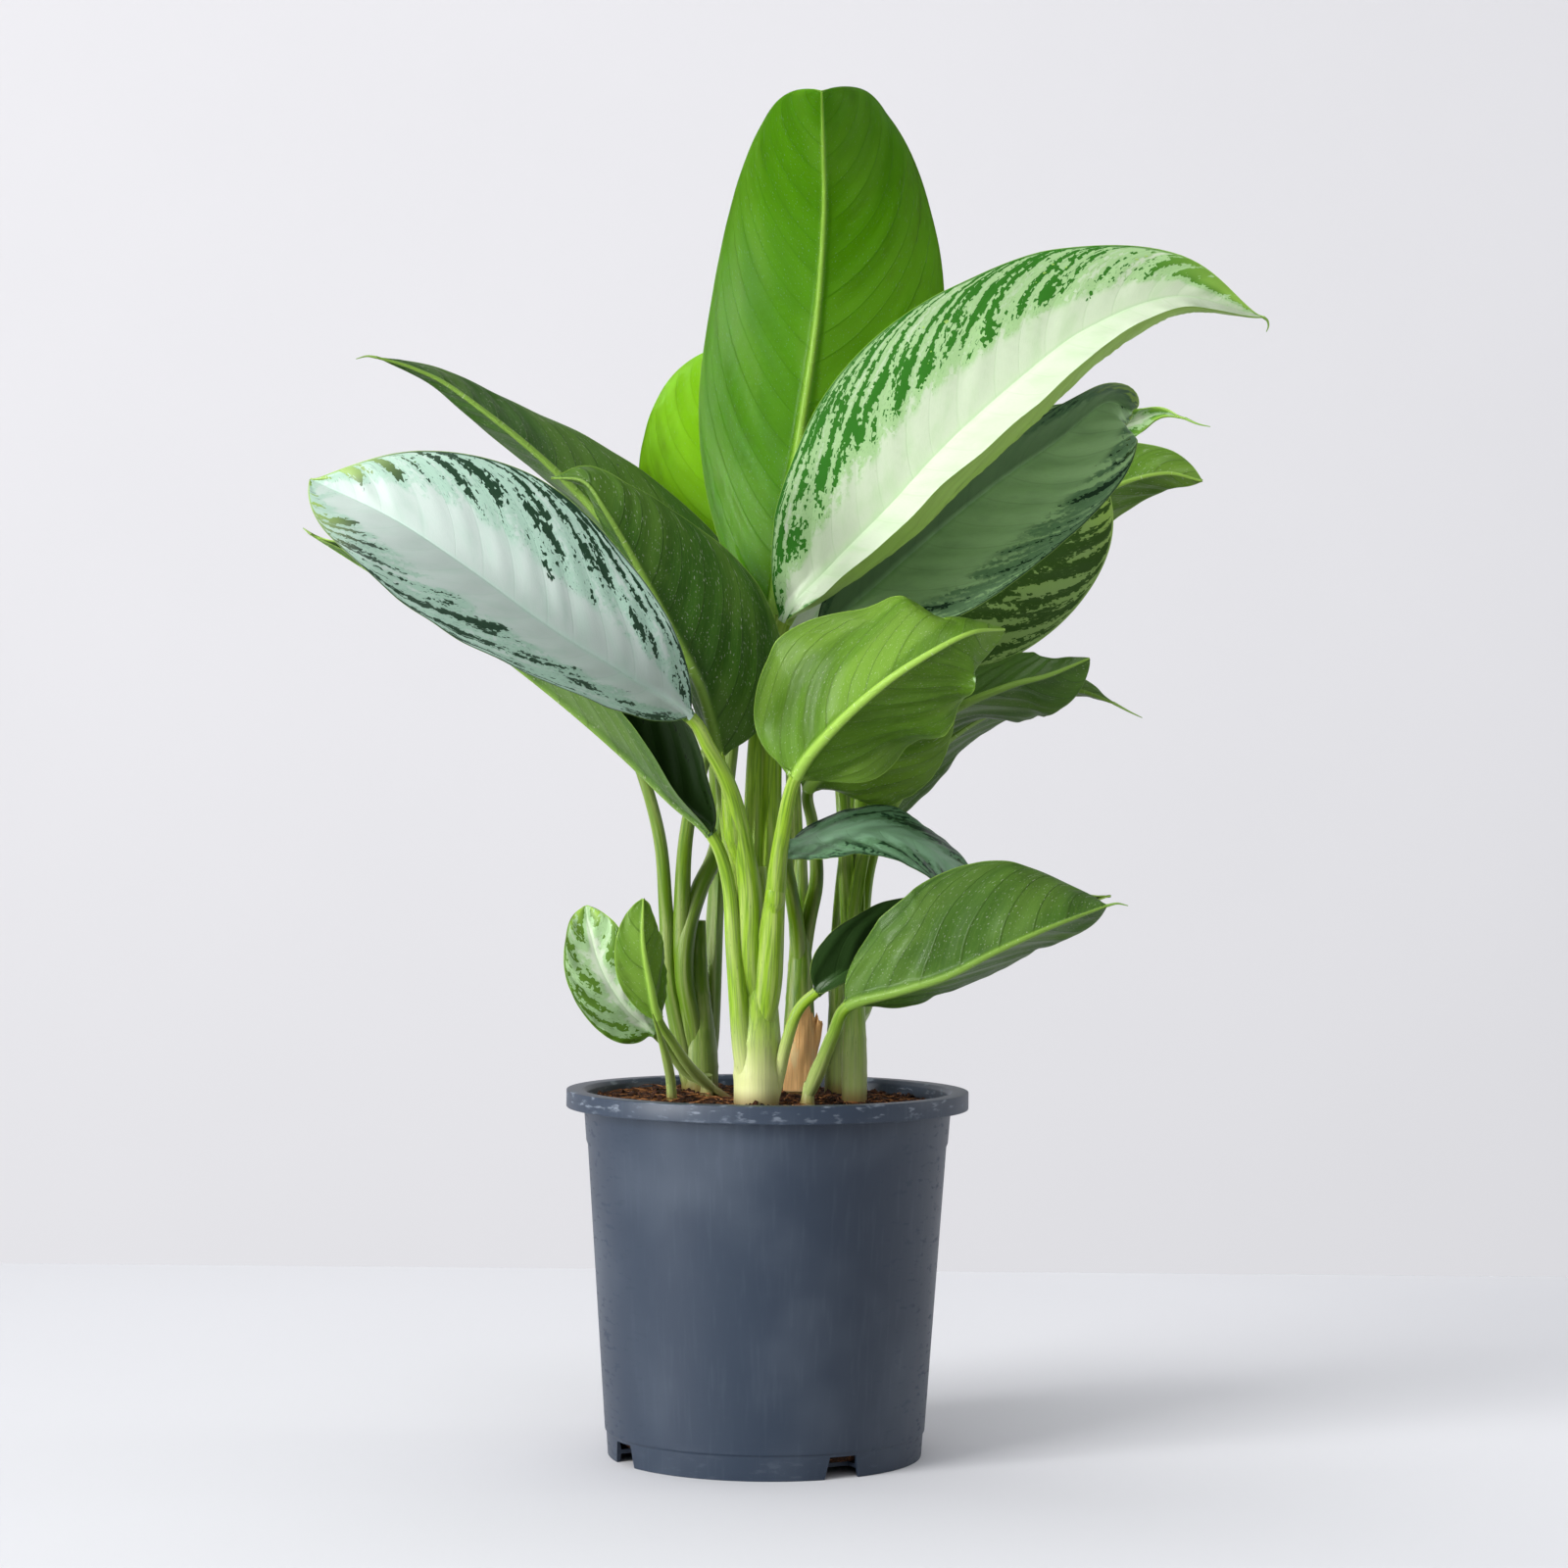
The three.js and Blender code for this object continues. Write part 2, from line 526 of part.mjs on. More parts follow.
function bladeGeometry({ stalk, rib, stem, left, right, shape, wave, faces, level }) {
  const points = [...stalk, ...rib];
  const rolled = Math.max(Math.abs(left.curl), Math.abs(right.curl)) > ROLLED_CURL;
  const halves = rolled ? ROLLED_COLUMNS : FLAT_COLUMNS;
  const steps = halves.length + 1;
  const columns = Array.from({ length: 2 * steps + 1 }, (_, j) => j - steps);
  const rows = stations(points, stalk.length - 1, points.length - 1, BLADE_SHARES);
  const [height, waves, phase] = wave;
  const grid = rows.map(({ point, growth }, i) => {
    const s = BLADE_SHARES[i];
    const across = sides(growth, level);
    const middle = i === 0 ? point.clone().addScaledVector(growth, JOINT_GAP) : point;
    const fullness = outline(shape, s);
    const least = lerp(stem[1], TIP_HALF_WIDTH, Math.min(1, s / STEM_SHARE));
    return columns.map((column) => {
      const half = column < 0 ? left : right;
      const width = Math.max(half.width * fullness, least);
      const share = [0, Math.min(halves[0] / 2, RIB_HALF_WIDTH / width), ...halves][Math.abs(column)];
      const turned = radians(half.curl) * share;
      const lean = radians(through(half.lean, s)) * Math.min(1, width / FOLDING_WIDTH) + turned / 2;
      const reach = width * share * shortened(turned);
      const start = phase + (column < 0 ? 0.5 : 0);
      const ripple = height * fullness * share ** 2 * Math.sin(turns(waves * s + start));
      const outward = across.right.clone().multiplyScalar(Math.sign(column) * Math.cos(lean));
      outward.addScaledVector(across.back, -Math.sin(lean));
      const normal = outward.clone().cross(growth).multiplyScalar(Math.sign(column));
      return middle.clone().addScaledVector(outward, reach).addScaledVector(normal, ripple);
    });
  });
  const plain = () => BLADE_THICKNESS / 2;
  const ribbed = (i, j) => plain() + (j === steps ? RIB_HEIGHT * (1 - BLADE_SHARES[i]) : 0);
  return faces === 'underside' ? sheet(grid, ribbed, plain, true) : sheet(grid, plain, ribbed, true);
}

// A blade's stalk, from inside its cane to its joint with the blade
function stalkSolid({ stalk, rib, stem: [foot, joint] }) {
  const radii = [foot, (foot + 2 * joint) / 3, joint];
  return solid(rod([...stalk, ...rib], stalk.length - 1, STALK_STEPS, radii, STALK_SIDES));
}

function tipSolid(points) {
  return solid(rod(points, points.length - 1, TIP_STEPS, SHEATH_TIP_RADII, STALK_SIDES));
}

// A shoot: its cane with the sheath tips and stalks that grow from it, as one body
function shootSolid(name) {
  const { path, radius, tips = [] } = CANES[name];
  const [x, y] = path[0];
  const buried = [[x, y, CANE_FOOT], ...path];
  const cane = solid(rod(buried, path.length, CANE_STEPS, radius, CANE_SIDES));
  const stalks = Object.values(BLADES).filter(({ shoot }) => shoot === name).map(stalkSolid);
  return [...tips.map(tipSolid), ...stalks].reduce((shoot, grown) => shoot.add(grown), cane);
}

// The radius of the pot's tapered outer wall at a height
function wallRadius(z) {
  return lerp(STEP_RADIUS, NECK_RADIUS, (z - STEP_HEIGHT) / (POT_HEIGHT - STEP_HEIGHT));
}

function notchSolid(turn) {
  const outline = new THREE.Shape([
    new THREE.Vector2(-NOTCH_BOTTOM / 2, -NOTCH_OVERCUT),
    new THREE.Vector2(NOTCH_BOTTOM / 2, -NOTCH_OVERCUT),
    new THREE.Vector2(NOTCH_TOP / 2, NOTCH_HEIGHT),
    new THREE.Vector2(-NOTCH_TOP / 2, NOTCH_HEIGHT),
  ]);
  const depth = NOTCH_OUTER_RADIUS - NOTCH_INNER_RADIUS;
  const notch = new THREE.ExtrudeGeometry(outline, { depth, bevelEnabled: false });
  notch.rotateX(Math.PI / 2).translate(0, -NOTCH_INNER_RADIUS, 0).rotateZ(radians(turn));
  return solid(notch);
}

function potSolid() {
  const lip = POT_HEIGHT - RIM_LIP_HEIGHT;
  const collar = POT_HEIGHT - COLLAR_DROP;
  const neck = POT_HEIGHT - WALL;
  const profile = [
    [0, 0], [BOSS_RADIUS, 0], [BOSS_RADIUS, FLOOR_UNDERSIDE],
    [FOOT_RADIUS - WALL, FLOOR_UNDERSIDE], [FOOT_RADIUS - WALL, 0], [FOOT_RADIUS, 0],
    [FOOT_RADIUS + FOOT_FLARE, STEP_HEIGHT], [STEP_RADIUS, STEP_HEIGHT + STEP_ROUNDING],
    [wallRadius(collar - COLLAR_SLOPE) - COLLAR_STEP, collar - COLLAR_SLOPE], [wallRadius(collar), collar],
    [NECK_RADIUS, neck], [RIM_RADIUS - WALL, neck], [RIM_RADIUS - WALL, lip],
    [RIM_RADIUS, lip], [RIM_RADIUS, POT_HEIGHT - RIM_ROUNDING], [RIM_RADIUS - RIM_ROUNDING, POT_HEIGHT],
    [NECK_RADIUS, POT_HEIGHT], [NECK_RADIUS - WALL, neck],
    [wallRadius(collar) - WALL, collar], [STEP_RADIUS - WALL, STEP_HEIGHT], [FOOT_RADIUS - WALL, FLOOR_TOP],
    [0, FLOOR_TOP],
  ];
  const turned = new THREE.LatheGeometry(profile.map(([r, z]) => new THREE.Vector2(r, z)), POT_SIDES);
  const pot = solid(turned.rotateX(Math.PI / 2));
  const notches = Array.from({ length: NOTCHES }, (_, k) => notchSolid(NOTCH_TURN + (360 * k) / NOTCHES));
  return notches.reduce((body, notch) => body.subtract(notch), pot);
}

// The height of the soil's uneven surface
function soilSurface(x, y) {
  const sway = [turns(x / SOIL_SWAYS[0]), turns(y / SOIL_SWAYS[1])].map(Math.sin);
  const ripple = Math.sin(turns(x / SOIL_WAVES[0]) + sway[1]) * Math.sin(turns(y / SOIL_WAVES[1]) + sway[0]);
  return SOIL_TOP - (SOIL_TILT * x) / NECK_RADIUS + SOIL_BUMP * ripple;
}

function soilSolid(holes) {
  const ring = (radius, height) =>
    Array.from({ length: SOIL_SIDES }, (_, k) => {
      const angle = turns(k / SOIL_SIDES);
      const [x, y] = [radius * Math.cos(angle), radius * Math.sin(angle)];
      return new THREE.Vector3(x, y, height(x, y));
    });
  const lower = STEP_RADIUS - WALL - SOIL_CLEARANCE;
  const upper = wallRadius(SOIL_TOP) - WALL - SOIL_CLEARANCE;
  const rings = [ring(lower - SOIL_FOOT_INSET, () => FLOOR_TOP + GAP), ring(lower, () => STEP_HEIGHT)];
  for (let k = SOIL_RINGS; k > 0; k--) {
    rings.push(ring((upper * k) / SOIL_RINGS, soilSurface));
  }
  return holes.reduce((soil, hole) => soil.subtract(hole), solid(loft(rings)));
}

function holeSolid([x, y], radius) {
  const bottom = CANE_FOOT - GAP;
  const hole = new THREE.CylinderGeometry(radius, radius, HOLE_TOP - bottom, HOLE_SIDES);
  hole.rotateX(Math.PI / 2).translate(x, y, (HOLE_TOP + bottom) / 2);
  return solid(hole);
}

function drySheathGeometry() {
  const { centre: [x, y], radius, flare, foot, height, thickness, arc, turn } = DRY_SHEATH;
  const { rows, columns, closing, peak, ripple, ripples, twist, tear, tears } = DRY_SHEATH;
  const grid = evenly(rows).map((s) =>
    evenly(columns).map((place) => {
      const t = place - 0.5;
      const angle = radians(turn - 90 + arc * t * (1 - closing * s));
      const out = radius + flare * s ** 2 + ripple * s * Math.sin(turns(ripples * t + twist * s));
      const top = height * (1 - peak * Math.abs(t)) + tear * Math.sin(turns(tears * t));
      return new THREE.Vector3(x + out * Math.cos(angle), y + out * Math.sin(angle), foot + s * top);
    }),
  );
  return sheet(grid, () => thickness / 2, () => thickness / 2);
}

const plant = new THREE.Group();

function add(name, geometry, kind) {
  const mesh = new THREE.Mesh(geometry, new THREE.MeshStandardMaterial({ ...COLOURS[kind], metalness: 0 }));
  mesh.name = name;
  plant.add(mesh);
}

const holes = Object.values(CANES).map(({ path, radius }) => {
  return holeSolid(path[0], Math.max(radius[0], radius[1]) + CANE_CLEARANCE);
});
holes.push(holeSolid(SPIKE.path[0], SPIKE.radius[0] + SPIKE_CLEARANCE));

add('pot', geometryOf(potSolid()), 'pot');
add('soil', geometryOf(soilSolid(holes)), 'soil');
for (const name of Object.keys(CANES)) {
  add(`shoot_${name}`, geometryOf(shootSolid(name)), 'stem');
}
add('new_shoot', rod(SPIKE.path, SPIKE.path.length - 1, STALK_STEPS, SPIKE.radius, STALK_SIDES), 'stem');
add('dry_sheath', drySheathGeometry(), 'dry');
for (const [name, blade] of Object.entries(BLADES)) {
  add(`leaf_${name}`, bladeGeometry(blade), 'leaf');
}

export default plant;
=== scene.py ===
"""A potted Chinese evergreen with silver leaves, in a plain studio: its pot, soil, shoots and blades."""

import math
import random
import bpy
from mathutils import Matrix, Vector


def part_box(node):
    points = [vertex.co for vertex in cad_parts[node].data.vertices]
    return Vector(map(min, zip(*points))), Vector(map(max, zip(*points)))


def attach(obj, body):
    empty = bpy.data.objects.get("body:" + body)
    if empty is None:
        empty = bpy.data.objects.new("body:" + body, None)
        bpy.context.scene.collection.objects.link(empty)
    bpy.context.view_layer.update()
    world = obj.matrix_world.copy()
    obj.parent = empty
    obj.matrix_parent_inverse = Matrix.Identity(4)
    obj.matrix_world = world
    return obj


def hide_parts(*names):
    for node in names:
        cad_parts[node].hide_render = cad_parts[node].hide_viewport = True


bl_info = {
    "name": "Potted Chinese Evergreen",
    "version": (1, 0, 0),
    "blender": (4, 5, 0),
    "location": "3D View > Sidebar > Evergreen",
    "description": "Builds a Chinese evergreen in a nursery pot, and a studio around it",
    "category": "Add Mesh",
}

import bmesh
import bpy
from bpy.props import FloatProperty, FloatVectorProperty, IntProperty, PointerProperty
from mathutils import Matrix, Vector, noise

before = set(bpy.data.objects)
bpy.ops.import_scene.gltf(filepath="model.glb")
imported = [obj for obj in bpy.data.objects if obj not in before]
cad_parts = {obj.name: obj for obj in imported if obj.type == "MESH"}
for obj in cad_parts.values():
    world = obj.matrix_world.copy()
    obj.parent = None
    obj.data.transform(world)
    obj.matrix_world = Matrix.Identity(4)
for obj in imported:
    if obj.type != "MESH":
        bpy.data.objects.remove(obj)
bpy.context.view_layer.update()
POT_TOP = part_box("pot")[1].z

# A millimetre in metres, the directions away from the viewer and up, and a full turn
MM = 0.001
AWAY = Vector((0, 1, 0))
UP = Vector((0, 0, 1))
TURN = 2 * math.pi

# The tables below are in millimetres and degrees, in the frame of the CAD model.

# Each shoot: its green, its cane from the soil up, the cane's radius at even steps from its buried foot to
# its top, and the points of any sheath tips that stand off it.
CANES = {
    "front": {
        "green": "pale",
        "path": [[-5, -25, 170], [-5, -26, 225], [-5, -26, 278]],
        "radius": [10, 11, 4],
        "tips": [
            [[-14, -42, 275], [-18, -54, 304], [-22, -60, 331]],
            [[2, -44, 248], [3, -49, 270], [3, -49, 296]],
        ],
    },
    "left": {
        "green": "deep", "path": [[-33, 50, 170], [-35, 49, 221], [-34, 48, 250]], "radius": [8.5, 9, 3],
    },
    "right_back": {
        "green": "deep", "path": [[15, 38, 170], [15, 38, 222], [15, 40, 280]], "radius": [7.5, 7.5, 3],
    },
    "right": {"green": "fresh", "path": [[41, 0, 170], [41, 3, 205], [40, 8, 250]], "radius": [6, 6, 3]},
    "right_inner": {"green": "fresh", "path": [[33, 48, 170], [33, 47, 230]], "radius": [5.5, 5.5, 3]},
    "small": {"green": "fresh", "path": [[-29, 10, 170], [-29, 8, 178]], "radius": [4, 4, 2.6]},
    "low_right": {"green": "fresh", "path": [[19, -30, 170], [20, -32, 178]], "radius": [3.8, 3.9, 2.6]},
}

# Each blade:
# shoot carries it. stalk and rib are the points of its stalk, and of its midrib beyond the stalk. stem is
# the stalk's radius at its foot and at its joint. tail is a thin tail beyond the midrib's end.
# faces is the face seen from the front. A level blade grows away from the viewer, with its lower face down.
# left and right are its halves. width is a half's greatest width. lean, in degrees at base, middle and tip,
# turns it towards the front (negative: away). curl, where there is one, adds to the lean from the midrib to
# the margin. A curl that changes is given at base, middle and tip too.
# shape is where the blade is widest, as a share of its length, how slender its base is and, where they
# differ, the tips of its two halves. wave is the height, the number and the start of the waves along its
# margin.
# silver and green are the looks of its upper and its lower face. streaks is how far the dark streaks spread
# over its left and its right half, from 0 to 1, and how far out from the midrib they start.
BLADES = {
    "left_silver": {
        "shoot": "front", "faces": "top", "stem": [7.5, 3],
        "stalk": [
            [-9, -31, 230], [-9, -38, 264], [-13, -50, 294],
            [-19, -60, 316], [-28, -68, 333], [-37, -72, 347],
        ],
        "rib": [[-64, -95, 364], [-98, -112, 385], [-133, -120, 410], [-167, -120, 432], [-205, -108, 450]],
        "left": {"width": 48, "lean": [62, 50, 36], "curl": 15},
        "right": {"width": 51, "lean": [25, 5, 20], "curl": -10},
        "shape": [0.54, 1.5, 1.6, 2.5], "wave": [1.5, 2, 0],
        "silver": "cool", "green": "olive", "streaks": [0.85, 0.9, 0.3],
    },
    "left_low": {
        "shoot": "front", "faces": "top", "stem": [6, 2.8],
        "stalk": [[-11, -30, 189], [-16, -36, 239], [-19, -40, 271], [-27, -45, 293]],
        "rib": [
            [-45, -46, 309], [-70, -42, 332], [-103, -38, 359],
            [-140, -34, 386], [-177, -30, 408], [-215, -25, 431],
        ],
        "left": {"width": 34, "lean": [85, 114, 100], "curl": 15},
        "right": {"width": 42, "lean": [30, 20, 40]},
        "shape": [0.38, 1.9], "wave": [1.5, 2, 0.3],
        "silver": "dark", "green": "grey", "streaks": [0.4, 0.4, 0.3],
        "tail": [[-215, -25, 431], [-219, -24, 434]],
    },
    "top": {
        "shoot": "front", "faces": "underside", "stem": [7, 3.6],
        "stalk": [[-8, -22, 257], [-7, -20, 293], [-6, -14, 335], [-3, -6, 367], [1, 2, 396]],
        "rib": [[6, 8, 438], [13, 10, 484], [20, 4, 535], [23, -10, 584], [22, -32, 617], [21, -56, 634]],
        "left": {"width": 56, "lean": [-25, -12, -30], "curl": -15},
        "right": {"width": 63, "lean": [-20, -5, -30], "curl": -15},
        "shape": [0.5, 1.25], "wave": [2, 2, 0.1],
        "silver": "warm", "green": "young", "streaks": [0.5, 0.5, 0.4],
    },
    "right_silver": {
        "shoot": "front", "faces": "top", "stem": [7, 3.6],
        "stalk": [[-1, -22, 248], [0, -20, 289], [1, -16, 335], [3, -14, 367], [6, -14, 393]],
        "rib": [
            [28, -30, 419], [53, -45, 444], [79, -58, 472], [110, -68, 500],
            [142, -74, 524], [182, -74, 539], [223, -66, 531],
        ],
        "left": {"width": 58, "lean": [10, 5, 15], "curl": 5},
        "right": {"width": 62, "lean": [40, 26, 42], "curl": [80, 96, 60]},
        "shape": [0.42, 2, 2.2, 1.5], "wave": [1.5, 2, 0.6],
        "silver": "warm", "green": "pale", "streaks": [1.0, 0.6, 0.25],
        "tail": [[223, -66, 531], [225, -65, 529.5], [225.5, -64.5, 527], [224.5, -65, 524.5]],
    },
    "front_left": {
        "shoot": "front", "faces": "underside", "stem": [6, 3],
        "stalk": [[-12, -24, 238], [-17, -27, 280], [-21, -30, 307], [-24, -32, 330]],
        "rib": [
            [-32, -40, 360], [-46, -46, 388], [-62, -50, 417],
            [-77, -50, 442], [-87, -47, 455], [-102, -42, 457],
        ],
        "left": {"width": 42, "lean": [-70, -78, -60], "curl": -10},
        "right": {"width": 48, "lean": [-5, -15, -20], "curl": -15},
        "shape": [0.34, 1.7], "wave": [1.5, 2, 0.4],
        "silver": "cool", "green": "deep", "streaks": [0.5, 0.5, 0.4],
    },
    "front_right": {
        "shoot": "front", "faces": "underside", "stem": [7.5, 3],
        "stalk": [[0, -33, 221], [3, -48, 267], [6, -62, 294], [12, -76, 320]],
        "rib": [[28, -95, 341], [50, -113, 361], [71, -122, 375], [89, -120, 384], [104, -106, 386]],
        "left": {"width": 53, "lean": [-8, -42, -60], "curl": -10},
        "right": {"width": 46, "lean": [-30, -45, -25]},
        "shape": [0.36, 1], "wave": [5, 2.4, 0.15],
        "silver": "warm", "green": "fresh", "streaks": [0.5, 0.5, 0.4],
    },
    "low_dark": {
        "shoot": "front", "faces": "top", "stem": [4, 2.6],
        "stalk": [[4, -26, 176], [9, -34, 198], [14, -38, 212], [23, -40, 221]],
        "rib": [[38, -46, 232], [60, -52, 246], [92, -54, 256], [125, -48, 262], [158, -40, 266]],
        "left": {"width": 27, "lean": [30, 50, 60]},
        "right": {"width": 24, "lean": [70, 60, 50], "curl": 20},
        "shape": [0.33, 1.7], "wave": [1, 2, 0],
        "silver": "dark", "green": "olive", "streaks": [0.3, 0.3, 0.2],
    },
    "left_behind": {
        "shoot": "left", "faces": "top", "stem": [4.6, 2.8],
        "stalk": [
            [-41, 46, 183], [-48, 42, 221], [-50, 40, 254],
            [-53, 38, 288], [-61, 38, 318], [-70, 40, 337],
        ],
        "rib": [[-94, 52, 368], [-129, 65, 402], [-168, 72, 431], [-202, 70, 447], [-216, 64, 451]],
        "left": {"width": 38, "lean": [60, 60, 50]},
        "right": {"width": 40, "lean": [40, 40, 30]},
        "shape": [0.4, 1.4], "wave": [1.5, 2, 0.5],
        "silver": "shaded", "green": "olive", "streaks": [0.7, 0.7, 0.3],
    },
    "upper_left": {
        "shoot": "left", "faces": "underside", "stem": [5, 2.8],
        "stalk": [
            [-38, 46, 193], [-42, 40, 231], [-42, 35, 269],
            [-39, 28, 300], [-31, 20, 330], [-23, 14, 360],
        ],
        "rib": [
            [-41, 16, 390], [-69, 20, 428], [-108, 26, 469],
            [-151, 28, 503], [-172, 26, 514], [-190, 22, 519],
        ],
        "left": {"width": 40, "lean": [-70, -78, -60]},
        "right": {"width": 46, "lean": [-5, -46, -58]},
        "shape": [0.3, 1.6], "wave": [2, 2, 0.2],
        "silver": "shaded", "green": "deep", "streaks": [0.6, 0.6, 0.3],
        "tail": [[-190, 22, 519], [-195, 21, 519.5], [-200, 20, 518]],
    },
    "top_left": {
        "shoot": "left", "faces": "underside", "stem": [5, 2.8],
        "stalk": [
            [-36, 46, 193], [-41, 40, 222], [-40, 38, 245], [-34, 42, 266],
            [-26, 47, 285], [-20, 54, 326], [-16, 60, 373], [-17, 62, 412],
        ],
        "rib": [[-20, 65, 441], [-23, 64, 470], [-23, 57, 500], [-17, 44, 529]],
        "left": {"width": 46, "lean": [-20, -10, -20], "curl": -10},
        "right": {"width": 40, "lean": [-20, -20, -30]},
        "shape": [0.42, 1.2], "wave": [1.5, 2, 0.2],
        "silver": "warm", "green": "lit", "streaks": [0.5, 0.5, 0.4],
    },
    "back_left": {
        "shoot": "left", "faces": "top", "level": True, "stem": [5, 3],
        "stalk": [[-29, 56, 187], [-27, 64, 239], [-26, 74, 285], [-28, 92, 325], [-33, 116, 352]],
        "rib": [[-43, 146, 374], [-54, 182, 390], [-65, 218, 392], [-74, 250, 380], [-80, 274, 360]],
        "left": {"width": 47, "lean": [30, 15, 10]},
        "right": {"width": 48, "lean": [30, 15, 10]},
        "shape": [0.42, 1.5], "wave": [2.5, 2, 0.1],
        "silver": "cool", "green": "olive", "streaks": [0.6, 0.6, 0.4],
    },
    "small_silver": {
        "shoot": "small", "faces": "top", "stem": [3.4, 2],
        "stalk": [[-30, 8, 174], [-39, 4, 180], [-47, -8, 192], [-54, -18, 200]],
        "rib": [[-66, -27, 211], [-77, -34, 229], [-83, -36, 248], [-85, -33, 259]],
        "left": {"width": 18, "lean": [10, 10, 10], "curl": 10},
        "right": {"width": 20, "lean": [20, 15, 10]},
        "shape": [0.45, 1.1], "wave": [0.8, 2, 0],
        "silver": "sprout", "green": "fresh", "streaks": [0.95, 0.95, 0],
    },
    "small_green": {
        "shoot": "small", "faces": "underside", "stem": [3.4, 2],
        "stalk": [[-28, 8, 173], [-37, -6, 183], [-45, -20, 196], [-51, -30, 207]],
        "rib": [[-55, -40, 225], [-58, -46, 244], [-58, -45, 263]],
        "left": {"width": 15, "lean": [-20, -15, -10]},
        "right": {"width": 14, "lean": [-50, -50, -40]},
        "shape": [0.45, 1.2], "wave": [0.5, 2, 0],
        "silver": "shaded", "green": "fresh", "streaks": [0.5, 0.5, 0.3],
    },
    "arching": {
        "shoot": "right_back", "faces": "top", "stem": [4.6, 2.8],
        "stalk": [[14, 34, 241], [10, 14, 267], [8, -2, 280], [9, -16, 287]],
        "rib": [[30, -32, 294], [52, -44, 295], [72, -49, 288], [88, -50, 275], [97, -48, 262]],
        "left": {"width": 32, "lean": [-65, -72, -68]},
        "right": {"width": 32, "lean": [70, 68, 55]},
        "shape": [0.45, 1.3], "wave": [1, 2, 0],
        "silver": "shaded", "green": "deep", "streaks": [0.9, 0.7, 0.2],
    },
    "mid_inner": {
        "shoot": "right_back", "faces": "underside", "stem": [4.6, 2.8],
        "stalk": [[18, 38, 245], [22, 28, 267], [22, 18, 282], [20, 6, 298], [18, -6, 314]],
        "rib": [[31, -24, 326], [49, -38, 340], [68, -46, 355], [86, -50, 369]],
        "left": {"width": 36, "lean": [-20, -20, -20]},
        "right": {"width": 42, "lean": [-30, -38, -45]},
        "shape": [0.4, 1.2], "wave": [1, 2, 0],
        "silver": "shaded", "green": "fresh", "streaks": [0.6, 0.6, 0.3],
    },
    "back_centre": {
        "shoot": "right_back", "faces": "top", "stem": [4.8, 3],
        "stalk": [[14, 42, 241], [12, 60, 293], [10, 85, 346], [9, 105, 390]],
        "rib": [[13, 130, 436], [23, 150, 483], [37, 172, 524], [52, 200, 552]],
        "left": {"width": 50, "lean": [25, 15, 10]},
        "right": {"width": 50, "lean": [25, 15, 10]},
        "shape": [0.42, 1.4], "wave": [2, 2, 0.4],
        "silver": "warm", "green": "fresh", "streaks": [0.6, 0.6, 0.4],
    },
    "right_second": {
        "shoot": "right", "faces": "top", "stem": [4.6, 2.8],
        "stalk": [[39, 8, 224], [37, 16, 270], [34, 20, 317], [28, 14, 359], [24, 6, 385]],
        "rib": [[52, 0, 413], [79, -8, 437], [106, -14, 459], [134, -16, 479], [156, -8, 497], [170, 6, 495]],
        "left": {"width": 36, "lean": [40, 50, 80]},
        "right": {"width": 48, "lean": [45, 28, 30]},
        "shape": [0.5, 1.4], "wave": [1.5, 2, 0.2],
        "silver": "turned", "green": "olive", "streaks": [0.9, 0.6, 0.5],
    },
    "right_round": {
        "shoot": "right", "faces": "top", "stem": [4.6, 2.8],
        "stalk": [[42, 10, 224], [43, 22, 270], [44, 36, 317], [44, 44, 355], [46, 46, 380]],
        "rib": [[72, 46, 399], [105, 40, 424], [135, 32, 447], [156, 22, 467]],
        "left": {"width": 42, "lean": [20, 10, 10]},
        "right": {"width": 45, "lean": [15, 8, 5]},
        "shape": [0.5, 1.15], "wave": [1.5, 2, 0.4],
        "silver": "mottled", "green": "olive", "streaks": [0.4, 1.0, 0.2],
    },
    "right_pointed": {
        "shoot": "right", "faces": "underside", "stem": [4.2, 2.6],
        "stalk": [[43, 10, 223], [46, 20, 265], [50, 24, 285], [55, 26, 299]],
        "rib": [[67, 22, 319], [88, 16, 341], [118, 8, 358], [143, -2, 362], [161, -10, 356]],
        "left": {"width": 32, "lean": [-60, -60, -50]},
        "right": {"width": 34, "lean": [-60, -76, -76]},
        "shape": [0.36, 1.7], "wave": [1, 2, 0],
        "silver": "shaded", "green": "olive", "streaks": [0.6, 0.6, 0.3],
        "tail": [[161, -10, 356], [168, -14, 352], [174, -17, 349]],
    },
    "mid_right": {
        "shoot": "right", "faces": "underside", "stem": [4.2, 2.6],
        "stalk": [[39, 9, 242], [43, 15, 275], [50, 18, 300], [58, 12, 320], [66, 0, 335]],
        "rib": [[86, -18, 352], [111, -30, 363], [129, -34, 368], [148, -30, 376]],
        "left": {"width": 34, "lean": [-62, -65, -60]},
        "right": {"width": 36, "lean": [-60, -62, -20]},
        "shape": [0.42, 1.2], "wave": [1.5, 2, 0.3],
        "silver": "warm", "green": "olive", "streaks": [0.7, 0.7, 0.3],
    },
    "right_far": {
        "shoot": "right_inner", "faces": "top", "stem": [4.2, 2.6],
        "stalk": [[34, 48, 222], [37, 60, 269], [40, 76, 317], [44, 90, 365], [50, 98, 399]],
        "rib": [
            [83, 110, 434], [122, 112, 468], [150, 104, 489],
            [177, 88, 497], [191, 78, 501], [202, 70, 498],
        ],
        "left": {"width": 36, "lean": [15, 15, 60]},
        "right": {"width": 36, "lean": [15, 15, 60]},
        "shape": [0.35, 1.8], "wave": [1.5, 2, 0.3],
        "silver": "warm", "green": "fresh", "streaks": [1.0, 1.0, 0.1],
        "tail": [[202, 70, 498], [208, 67, 495], [214, 65, 493.5]],
    },
    "right_glossy": {
